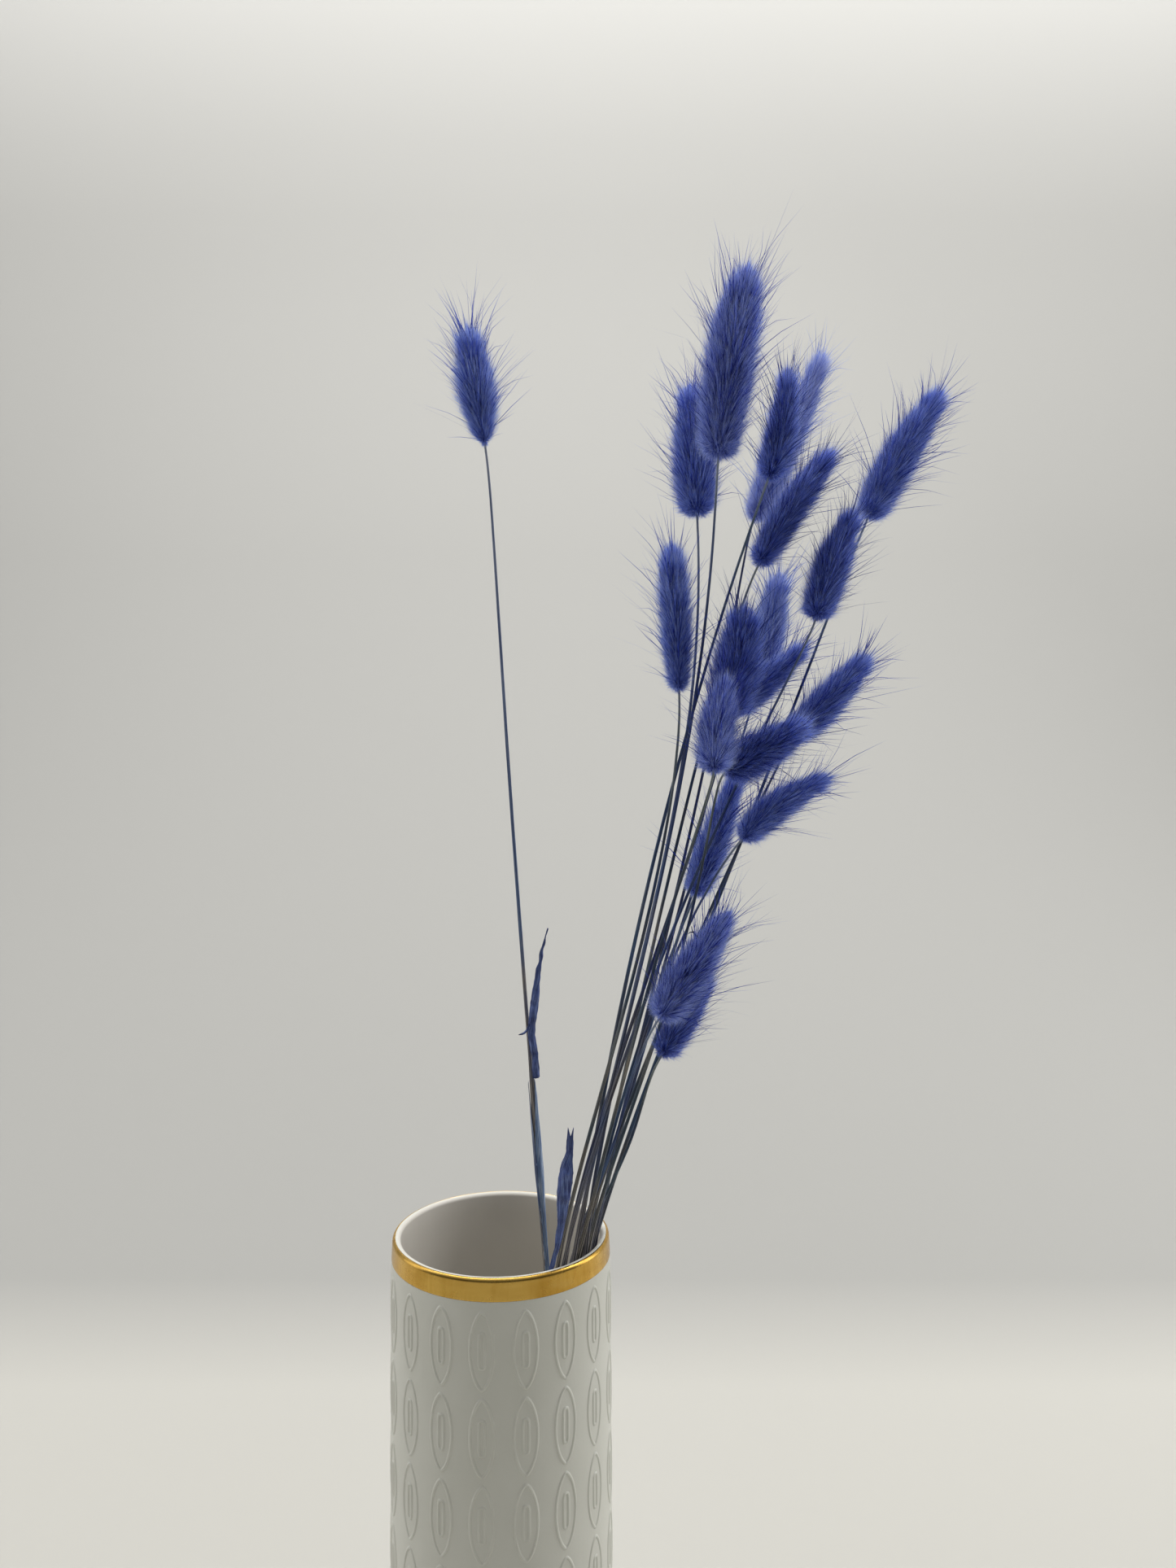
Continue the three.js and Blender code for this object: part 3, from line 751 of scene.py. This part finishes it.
def outline(stem, share):
    """The outline of a head as a share of its radius."""
    belly = stem.get("belly", BELLY)
    low = 1 - stem.get("base_share", BASE_SHARE) ** 2
    high = 1 - TIP_SHARE ** 2
    share = np.clip(share, 0, 1)
    below = 1 - low * np.clip(1 - share / belly, 0, 1) ** stem.get("bluntness", BASE_BLUNTNESS)
    above = 1 - high * np.clip((share - belly) / (1 - belly), 0, 1) ** 2
    return np.sqrt(np.where(share < belly, below, above))


def rim_place(stem):
    radius, start = ROWS[stem["row"]]
    angle = math.radians(start + PLACE_STEP * stem["place"])
    return np.array([radius * math.cos(angle), radius * math.sin(angle), VASE_HEIGHT])


def foot_place(stem, waist):
    """On the line from the head over the rim, drawn on to the floor of the vase."""
    base = np.array(stem["base"], float)
    drop = (VASE_HEIGHT - FOOT_HEIGHT) * stem["lean"]
    foot = waist[:2] - drop * (base[:2] - waist[:2]) / (base[2] - VASE_HEIGHT)
    foot = foot * min(1, FOOT_CIRCLE / np.linalg.norm(foot))
    return np.array([*foot, FOOT_HEIGHT])


def lay_out(stem):
    """The middle line of a stem, straight inside the vase and then in one smooth bend to the head, and each
    point's share of that bend. The factor of 16 makes the bow whole at the middle."""
    waist = np.array(stem["waist"], float) if "waist" in stem else rim_place(stem)
    foot = np.array(stem["foot"], float) if "foot" in stem else foot_place(stem, waist)
    base = np.array(stem["base"], float)
    axis = head_axis(stem, 0)[1]
    end = base - axis * GAP
    reach = np.linalg.norm(end - waist)
    points = [waist, waist + unit(waist - foot) * reach / 3, end - axis * reach * stem["neck"] / 3, end]
    share = np.linspace(0, 1, STEM_STEPS)[:, None]
    rest = 1 - share
    bend = (rest ** 3 * points[0] + 3 * rest ** 2 * share * points[1] + 3 * rest * share ** 2 * points[2]
            + share ** 3 * points[3])
    bend += 16 * (share * rest) ** 2 * np.array([*stem["bow"], 0])
    inside = foot + (waist - foot) * np.arange(INSIDE_STEM_STEPS)[:, None] / INSIDE_STEM_STEPS
    line = np.concatenate([inside, bend, [base + axis * STEM_INTO_HEAD]])
    return line, np.concatenate([np.zeros(INSIDE_STEM_STEPS), share[:, 0], [1]])


def tube(line, radii, sides, rng):
    """A closed tube along a line, a little uneven, with fine lengthwise ribs."""
    ahead = unit(np.gradient(line, axis=0))
    side, depth = across(ahead)
    sway = np.cumsum(rng.normal(0, 1, (len(line), 2)), 0)
    sway = (sway - np.linspace(sway[0], sway[-1], len(line))) * WOBBLE
    line = line + side * sway[:, :1] + depth * sway[:, 1:]
    turn = np.arange(sides) * 2 * math.pi / sides
    rib = 1 + FLUTE * rng.normal(0, 1, sides)
    reach = radii[:, None, None] * rib[:, None]
    rings = (line[:, None] + side[:, None] * (reach * np.cos(turn)[:, None])
             + depth[:, None] * (reach * np.sin(turn)[:, None]))
    return rings.reshape(-1, 3)


def stem_piece(stem, materials, rng):
    line, share = lay_out(stem)
    height = (line[:, 2] - FOOT_HEIGHT) / (stem["base"][2] - FOOT_HEIGHT)
    radii = STEM_RADIUS_FOOT + (STEM_RADIUS_NECK - STEM_RADIUS_FOOT) * height
    radii *= 1 - NECK_SLIM * height ** NECK_POWER
    if stem["id"] == 1:
        radii += np.where(share < SHEATH_SHARE, SHEATH_SWELL * np.sin(math.pi * share / SHEATH_SHARE), 0)
    corners = tube(line, radii, STEM_SIDES, rng)
    rows, count = len(line), len(corners)
    faces = grid_faces(rows, STEM_SIDES)
    turn = np.arange(STEM_SIDES)
    beside = (turn + 1) % STEM_SIDES
    last = (rows - 1) * STEM_SIDES
    low = np.stack([np.full(STEM_SIDES, count), beside, turn], -1)
    high = np.stack([np.full(STEM_SIDES, count + 1), last + turn, last + beside], -1)
    corners = np.concatenate([corners, line[[0, -1]]])
    triangles = np.concatenate([faces[:, [0, 1, 2]], faces[:, [0, 2, 3]], low, high])
    maps = grid_maps(rows, STEM_SIDES).reshape(-1, 4, 2)
    cap = np.tile(END_MAP, (2 * STEM_SIDES, 1, 1))
    maps = np.concatenate([maps[:, [0, 1, 2]], maps[:, [0, 2, 3]], cap])
    name = f"stem_{stem['id']:02d}"
    mesh = new_mesh(name + "_fine", corners, triangles, maps)
    new_piece(name + "_fine", mesh, materials["stem_" + stem["stem"]], [name])


# Heads
def head_length(stem):
    return float(np.linalg.norm(np.subtract(stem["tip"], stem["base"])))


def place_on_head(stem, share, turn, radius):
    """Points at a share of a head's length, a turn round it and a radius off its middle line."""
    inside = np.clip(share, 0, 1)
    point, ahead = head_axis(stem, inside)
    side, depth = across(ahead)
    beyond = (share - inside) * head_length(stem)
    out = side * np.cos(turn)[:, None] + depth * np.sin(turn)[:, None]
    return point + ahead * beyond[:, None] + out * radius[:, None], ahead, out


def fur_ends(length):
    return -CAP_AT_BASE / length, 1 + (CAP_AT_TIP - TIP_SHORTER) / length


def fur_outline(stem, share):
    """The outline of the fur, which closes round beyond both ends of the head."""
    length = head_length(stem)
    share = share * (1 + TIP_SHORTER / length)
    above = np.clip((share - 1) * length / CAP_AT_TIP, 0, 1)
    below = np.clip(-share * length / CAP_AT_BASE, 0, 1)
    fuller = stem.get("fuller", FULLER_BASE) * np.clip(1 - share / BASE_ZONE, 0, 1)
    fuller_tip = SLIM_TIP if stem["dye"] == "lavender" else FULLER_TIP
    fuller += fuller_tip * np.clip(1 - (1 - share) / TIP_ZONE, 0, 1)
    return (outline(stem, share) + fuller) * np.sqrt(1 - np.maximum(above, below) ** 3)


def flat_side(along, rng):
    """A random direction at right angles to each strand."""
    return unit(np.cross(along, unit(rng.normal(0, 1, along.shape))))


def strands(points, half, narrows, tone, marks):
    """Thin flat strands from the first of the points to the last, where they are sharp: corners, faces and
    maps. The map of a strand is a narrow upright strip in the column of its tone."""
    count = len(tone)
    sides = [point + half * by for point, narrow in zip(points, narrows) for by in (-narrow, narrow)]
    last = len(sides)
    pattern = [[k + i for i in corner] for k in range(0, last - 2, 2) for corner in ((0, 1, 3), (0, 3, 2))]
    pattern.append([last - 2, last - 1, last])
    first = np.arange(count)[:, None] * (last + 1)
    faces = np.concatenate([first + triangle for triangle in pattern], 1)
    column = np.clip((tone * SHADES).astype(int), 0, SHADES - 1)
    left, right = [(column + edge) / SHADES for edge in COLUMN_EDGES]
    places = [np.stack([u, np.full(count, v)], -1) for v in marks[:-1] for u in (left, right)]
    places.append(np.stack([(left + right) / 2, np.full(count, marks[-1])], -1))
    maps = np.stack([places[i] for triangle in pattern for i in triangle], 1)
    corners = np.stack([*sides, points[-1]], 1)
    return corners.reshape(-1, 3), faces.reshape(-1, 3), maps.reshape(-1, 2)


def lock_field(radius, along, turn, rng):
    """An uneven field round a head, about -1 to 1, that is alike within each lock of fur."""
    field = np.zeros(len(along))
    for _ in range(LOCK_WAVES):
        round_count = round(2 * math.pi * radius / rng.uniform(*LOCK_WIDTHS))
        pace = 2 * math.pi / rng.uniform(*LOCK_LENGTHS) * rng.choice([-1, 1])
        field += np.sin(round_count * turn + pace * along + rng.uniform(0, 2 * math.pi))
    return field / math.sqrt(LOCK_WAVES)


def slow_waves(waves, starts, turn, along):
    return [np.sin(a * turn + b * along + start) for (a, b), start in zip(waves, starts)]


def fur_tufts(stem, rng):
    """Tufts spread evenly over the fur: where each one ends, and its turn, reach, rise, tone and lean."""
    length, radius = head_length(stem), stem["radius"]
    grid = np.linspace(*fur_ends(length), FUR_GRID)
    weight = fur_outline(stem, grid) + LEAST_WEIGHT
    area = 2 * math.pi * radius * weight.mean() * (length + CAP_AT_TIP + CAP_AT_BASE)
    count = int(area * TUFTS_PER_AREA)
    end = np.interp((np.arange(count) + 0.5) / count, np.cumsum(weight) / weight.sum(), grid)
    end += rng.normal(0, TUFT_SHIFT / length, count)
    turn = np.arange(count) * GOLDEN_ANGLE + rng.normal(0, TUFT_TWIST, count)
    reach = rng.uniform(*TUFT_REACH, count)
    rise = HAIR_RISE * rng.uniform(*TUFT_RISE, count)
    tone = rng.normal(0, TUFT_TONE, count)
    locks = lock_field(radius, end * length, turn, rng)
    reach *= 1 + LOCK_DEPTH * locks
    tone += LOCK_TONE * locks

    # Three starts are drawn for each pair of waves, and the last of them is spare
    swells, swirls = rng.uniform(0, 2 * math.pi, (2, 3))
    along = end * length / WAVE_LENGTH
    reach *= 1 + SWELL * sum(slow_waves(SWELL_WAVES, swells, turn, along))
    lean = SWIRL * np.prod(slow_waves(SWIRL_WAVES, swirls, turn, along), axis=0)
    lean += rng.normal(0, TUFT_LEAN, count)
    return end, turn, reach, rise, tone, lean


def fur(stem, rng):
    """Hairs in small tufts that lean to the tip. The ends of the hairs lie along the head's outline."""
    length, radius = head_length(stem), stem["radius"]
    end, turn, reach, rise, tone, lean = [np.repeat(v, HAIRS_PER_TUFT) for v in fur_tufts(stem, rng)]
    hairs = len(end)
    wisp = rng.random(hairs) < WISP_SHARE
    by_kind = {key: np.where(wisp, *pair) for key, pair in WISP_OR_OTHER.items()}
    end = np.clip(end + rng.normal(0, HAIR_SHIFT / length, hairs), *fur_ends(length))
    turn = turn + rng.normal(0, 1, hairs) * by_kind["spread"] / radius
    reach = reach * rng.uniform(*HAIR_REACH, hairs)
    reach = np.where(wisp, 1 + WISP_REACH * rng.random(hairs) ** 1.6, reach)
    rise = rise * rng.uniform(*HAIR_RISES, hairs) * by_kind["rise"]

    # Near both ends some hairs stop further in, so that the fur is closed there too
    near_end = np.clip(np.maximum(-end * length / CLOSING + 1, (end - 1) * length / CLOSING + 1), 0, 1)
    reach = reach * np.where(rng.random(hairs) < near_end, rng.uniform(0.05, 1, hairs) ** 0.5, 1)
    tip_radius = radius * fur_outline(stem, end) * reach
    start = np.minimum(end - rise / length, CORE_ENDS[1])
    start = np.where(start < CORE_ENDS[0], rng.uniform(*LOWEST_ROOTS, hairs), start)
    root_radius = np.maximum(ROOT_LEAST, radius * outline(stem, start) - CORE_DEPTH)
    root_radius = np.minimum(root_radius, np.maximum(tip_radius - 0.3, 0.15))
    root_turn = turn + rng.normal(0, ROOT_TWIST, hairs) - lean / radius
    root, _, _ = place_on_head(stem, start, root_turn, root_radius)
    beyond = np.where(wisp & (end > BRUSH_FROM), rng.uniform(0, BRUSH / length, hairs), 0)
    tip, _, out = place_on_head(stem, end + beyond, turn, tip_radius)
    bulge = rng.normal(*HAIR_BULGE, hairs)[:, None] * np.linalg.norm(tip - root, axis=1, keepdims=True)
    middle = (root + tip) / 2 + out * bulge
    width = HAIR_WIDTH * rng.uniform(*HAIR_WIDTHS, hairs) * by_kind["width"]

    # Painted light: hairs are made paler near the base of the head and toward its tip
    paler = BASE_PALER * np.clip(1 - end / BASE_PALE_TO, 0, 1)
    paler += TIP_PALER * np.clip((end - TIP_PALE_FROM) / (1 - TIP_PALE_FROM), 0, 1)
    # Painted light: wisps at the fringe get a paler tone
    tone = HAIR_TONE[0] + tone + rng.normal(0, HAIR_TONE[1], hairs) + paler + by_kind["tone"]
    tone += np.where(rng.random(hairs) < BRIGHT_SHARE, BRIGHT_TONE, 0)
    half = flat_side(unit(tip - root), rng) * width[:, None] / 2
    return strands([root, middle, tip], half, HAIR_NARROWS, tone, HAIR_MARKS)


def awns(stem, rng):
    """The long thin bristles that stand well out of the fur, more upright the nearer they are to the tip."""
    length = head_length(stem)
    count = int(AWNS * stem["radius"] * length / AWN_AREA)
    start = rng.uniform(*AWN_STARTS, count)
    turn = rng.uniform(0, 2 * math.pi, count)
    run = AWN_RUN[0] + AWN_RUN[1] * rng.random(count) ** AWN_RUN_POWER
    lean = np.radians(rng.normal(*AWN_LEAN, count)) * (1.15 - 0.8 * start)
    radius = np.maximum(AWN_ROOT, stem["radius"] * outline(stem, start) - CORE_DEPTH)
    root, ahead, out = place_on_head(stem, start, turn, radius)
    direction = ahead * np.cos(lean)[:, None] + out * np.sin(lean)[:, None]
    direction = unit(direction + np.cross(ahead, out) * rng.normal(0, AWN_ASIDE, count)[:, None])

    # An awn is cut off at the end of its room, and one that would bend out of it stays straight
    low = np.array(cad_box[0]) / MM - AWN_ROOM
    high = np.array(cad_box[1]) / MM + AWN_ROOM
    room = np.where(direction > 0, high - root, low - root) / direction
    run = np.minimum(run, room.min(1))
    bend = rng.normal(0, AWN_BEND, (count, 3)) + out * 0.004 - ahead * 0.003
    tip = root + (direction + bend * run[:, None]) * run[:, None]
    bend *= np.all((tip > low) & (tip < high), axis=1)[:, None]
    points = [root + direction * (run * s)[:, None] + bend * ((run * s) ** 2)[:, None] for s in AWN_SHARES]
    half = flat_side(direction, rng) * (rng.uniform(*AWN_WIDTHS, count)[:, None] / 2)
    return strands(points, half, AWN_NARROWS, rng.normal(*AWN_TONE, count), AWN_MARKS)


def core_mesh(stem):
    """The inside of a head, which shows between the hairs. It is dark as painted shade."""
    share = np.linspace(*CORE_ENDS, CORE_STEPS)
    radius = np.maximum(CORE_LEAST, stem["radius"] * outline(stem, share) - CORE_DEPTH + CORE_THICKER)
    radius[[0, -1]] *= CORE_END_SHARE
    turn = np.arange(CORE_SIDES) * 2 * math.pi / CORE_SIDES
    rings, _, _ = place_on_head(stem, np.repeat(share, CORE_SIDES), np.tile(turn, CORE_STEPS),
                                np.repeat(radius, CORE_SIDES))
    return rings, grid_faces(CORE_STEPS, CORE_SIDES)


def head_pieces(stem, materials, rng):
    name = f"head_{stem['id']:02d}"
    new_piece(name + "_fur", joined(name + "_fur", [fur(stem, rng), awns(stem, rng)]),
              materials["fluff_" + stem["dye"]], [name])
    new_piece(name + "_core", new_mesh(name + "_core", *core_mesh(stem)), materials["core"])


# Leaves
def smooth_line(points, count):
    """Points along a smooth curve through the given points."""
    points = np.asarray(points, float)
    padded = np.concatenate([[2 * points[0] - points[1]], points, [2 * points[-1] - points[-2]]])
    place = np.linspace(0, len(points) - 1, count)
    index = np.minimum(place.astype(int), len(points) - 2)
    t = (place - index)[:, None]
    a, b, c, d = (padded[index + k] for k in range(4))
    square = 2 * a - 5 * b + 4 * c - d
    cube = 3 * b - 3 * c + d - a
    return 0.5 * (2 * b + (c - a) * t + square * t ** 2 + cube * t ** 3)


def even_steps(values, count):
    return np.interp(np.linspace(0, len(values) - 1, count), range(len(values)), values)[:, None]


def leaf_strip(strip, rng):
    """A thin crumpled strip with ragged edges: corners, quads and maps."""
    steps = LEAF_STEPS
    line = smooth_line(strip["line"], steps)
    ahead = unit(np.gradient(line, axis=0))
    side, depth = across(ahead)
    turn = np.radians(even_steps(strip["turns"], steps))
    half = even_steps(strip["half_widths"], steps)
    wide = side * np.cos(turn) + depth * np.sin(turn)
    thick = depth * np.cos(turn) - side * np.sin(turn)
    s = np.linspace(-1, 1, LEAF_LANES)[None]
    run = np.concatenate([[0], np.cumsum(np.linalg.norm(np.diff(line, axis=0), axis=1))])[:, None]
    size = half.max()
    crumple = strip["curl"] * half * (s * s - 0.5) + LEAF_RIBS * np.cos(3 * math.pi * s)
    for _ in range(LEAF_CRUMPLES):
        pace, slant, start = rng.uniform(0.4, 1.6), rng.uniform(-4, 4), rng.uniform(0, 2 * math.pi)
        crumple = crumple + LEAF_CRUMPLE * half / size * np.sin(pace * run + slant * s + start)
    ragged = LEAF_RAGGED * np.cumsum(rng.normal(0, 1, (steps, 2)), 0)
    ragged -= np.linspace(ragged[0], ragged[-1], steps)
    edge = half * s + np.where(s > 0, ragged[:, :1], ragged[:, 1:]) * s * s * np.minimum(half, 1)
    end = np.clip((np.arange(steps)[:, None] / (steps - 1) - 1 + LEAF_END) / LEAF_END, 0, 1)
    beyond = strip["fork"] * end * (np.abs(s) - LEAF_FORK)
    middle = (line[:, None] + wide[:, None] * edge[..., None] + thick[:, None] * crumple[..., None]
              + ahead[:, None] * beyond[..., None])
    body = LEAF_HALF_THICKNESS * (1 - 0.6 * s * s)[..., None]
    return shell(middle, thick[:, None] * body)


def shell(middle, half):
    """A thin closed strip that reaches half its thickness to each side of a grid: corners, quads and maps."""
    steps, lanes = middle.shape[:2]
    ring = np.concatenate([middle - half, (middle + half)[:, ::-1]], 1)
    columns = ring.shape[1]
    caps = []
    for row, flip in ((0, 1), (steps - 1, -1)):
        for k in range(lanes - 1):
            quad = [row * columns + i for i in (k, k + 1, columns - 2 - k, columns - 1 - k)]
            caps.append(quad[::-flip])
    faces = np.concatenate([grid_faces(steps, columns), caps])
    maps = np.concatenate([grid_maps(steps, columns), np.tile(LEAF_END_MAP, (len(caps), 1))])
    return ring.reshape(-1, 3), faces, maps


def leaf_piece(name, strips, material, rng):
    mesh = joined(name + "_fine", [leaf_strip(strip, rng) for strip in strips])
    new_piece(name + "_fine", mesh, material, [name])


def sheath_flap(flap, rng):
    """A part of the dry sheath that wraps the lone stem. It narrows to a point at its top."""
    line, _ = lay_out(LONE)
    rise = np.linspace(0, 1, SHEATH_STEPS)[:, None]
    z = SHEATH_LOW + (flap["top"] - SHEATH_LOW) * rise[:, 0]
    middle = np.stack([np.interp(z, line[:, 2], line[:, k]) for k in range(3)], -1)
    narrow = 1 - np.clip((rise - SHEATH_NARROWS) / (1 - SHEATH_NARROWS), 0, 1) ** 1.6
    first, last = flap["turns"]
    s = np.linspace(-1, 1, LEAF_LANES)[None]
    centre = (first + last) / 2 + (flap["tip_turn"] - (first + last) / 2) * (1 - narrow)
    turn = np.radians(centre + (last - first) / 2 * s * (SHEATH_POINT + (1 - SHEATH_POINT) * narrow))
    radius = np.interp(rise, SHEATH_SHARES, SHEATH_RADII) + flap["lift"] * rise ** 5
    radius = radius + SHEATH_CREASE * np.sin(6 * s + 9 * rise)
    radius += SHEATH_RAGGED * rng.normal(0, 1, (SHEATH_STEPS, 1)) * s * s
    out = np.stack([np.cos(turn), np.sin(turn), 0 * turn], -1)
    return shell(middle[:, None] + out * radius[..., None], out * SHEATH_HALF_THICKNESS)


def sheath_pieces(materials, rng):
    for name, flap in SHEATH_FLAPS.items():
        new_piece(name, joined(name, [sheath_flap(flap, rng)]), materials[flap["look"]])


def twig_arm(points, rng):
    radii = np.linspace(*TWIG_RADII, TWIG_STEPS)
    corners = tube(smooth_line(points, TWIG_STEPS), radii, TWIG_SIDES, rng)
    return corners, grid_faces(TWIG_STEPS, TWIG_SIDES), grid_maps(TWIG_STEPS, TWIG_SIDES)


def twig_piece(materials, rng):
    mesh = joined("head_18_twig", [twig_arm(points, rng) for points in TWIG_ARMS])
    new_piece("head_18_twig", mesh, materials["stem_ink"])


# Stage
def stage_material():
    """Pale grey, with painted shade that makes it a little darker on the sweep than on the floor under the
    vase. Far off it glows a little.
    """
    m = Nodes("stage")
    m.set(Roughness=0.95, Emission_Strength=FAR_GLOW)
    back = m.split(m.add("ShaderNodeTexCoord").outputs["Object"])["Y"]
    share = m.add("ShaderNodeMath", operation="DIVIDE")
    m.join(back, share.inputs[0])
    share.inputs[1].default_value = STAGE_DEPTH
    m.base(m.ramp(share.outputs["Value"], [(y / STAGE_DEPTH, shade) for y, shade in STAGE_PAINTED_SHADES]))
    m.join(m.span(back, 0, 1, *FAR_REACH, "SMOOTHSTEP"), m.shader.inputs["Emission Color"])
    return m.block


def backdrop():
    """A pale floor that sweeps up into a wall far behind."""
    profile = [(STAGE_FRONT, 0), (SWEEP_START, 0)]
    profile += [(SWEEP_START + SWEEP_RADIUS * math.sin(t), SWEEP_RADIUS * (1 - math.cos(t)))
                for t in np.linspace(0, math.pi / 2, SWEEP_STEPS)[1:]]
    profile += [(SWEEP_START + SWEEP_RADIUS, SWEEP_RADIUS + WALL_ABOVE_SWEEP)]
    corners = [(x, y, z) for y, z in profile for x in (-STAGE_HALF_WIDTH, STAGE_HALF_WIDTH)]
    faces = grid_faces(len(profile), 2, closed=False)
    sheet = new_object("backdrop", new_mesh("backdrop", corners, faces))
    sheet.data.materials.append(stage_material())


def area_light(name, place, target, size, power):
    data = bpy.data.lights.new(name, "AREA")
    data.shape = "RECTANGLE"
    data.size, data.size_y = size
    data.energy = power
    light = new_object(name, data)
    light.location = place
    light.rotation_euler = (Vector(target) - Vector(place)).to_track_quat("-Z", "Y").to_euler()


def studio_world():
    """Soft light all round: weak from the front, stronger from behind and from overhead."""
    world = Nodes("studio", world=True)
    world.set(Color=SKY_TINT)
    axes = world.split(world.add("ShaderNodeTexCoord").outputs["Generated"])
    total = world.add("ShaderNodeMath")
    for socket, (axis, (places, strengths)) in enumerate(SKY_LIGHT.items()):
        world.join(world.span(axes[axis], *strengths, *places, "SMOOTHSTEP"), total.inputs[socket])
    choose = world.add("ShaderNodeMix", B=SEEN_LIGHT)
    world.join(world.add("ShaderNodeLightPath").outputs["Is Camera Ray"], choose.inputs["Factor"])
    world.join(total.outputs["Value"], choose.inputs["A"])
    world.join(choose.outputs["Result"], world.shader.inputs["Strength"])
    bpy.context.scene.world = world.block


def lights():
    studio_world()
    for name, values in AREA_LIGHTS.items():
        area_light(name, *values)


def camera():
    bpy.context.scene.view_settings.view_transform = "Standard"
    data = bpy.data.cameras.new("camera")
    data.lens = CAMERA_LENS
    data.sensor_width = CAMERA_SENSOR
    data.clip_start = CAMERA_NEAREST
    eye = new_object("camera", data)
    eye.location = [v * MM for v in CAMERA_PLACE]
    eye.rotation_euler = (math.radians(90 - CAMERA_DIP), 0, 0)
    bpy.context.scene.camera = eye


def main():
    rng = np.random.default_rng(SEED)
    materials = {"core": core_material()}
    for name in STEM_DYES:
        materials["stem_" + name] = stem_material(name)
    for name in FLUFF_DYE_AND_PAINTED_SHADE:
        materials["fluff_" + name] = fluff_material(name)
    materials["blade"] = leaf_material()

    camera()
    lights()
    backdrop()
    vase = new_piece("vase_body", vase_mesh(), glaze_material("porcelain"), ["vase"])
    vase.data.materials.append(glaze_material("porcelain_inside"))
    new_piece("vase_gold", gold_mesh(), gold_material())
    for stem in STEMS:
        stem_piece(stem, materials, rng)
    for stem in STEMS:
        head_pieces(stem, materials, rng)
    for name, strips in LEAVES.items():
        leaf_piece(name, strips, materials["blade"], rng)
    sheath_pieces(materials, rng)
    twig_piece(materials, rng)


main()
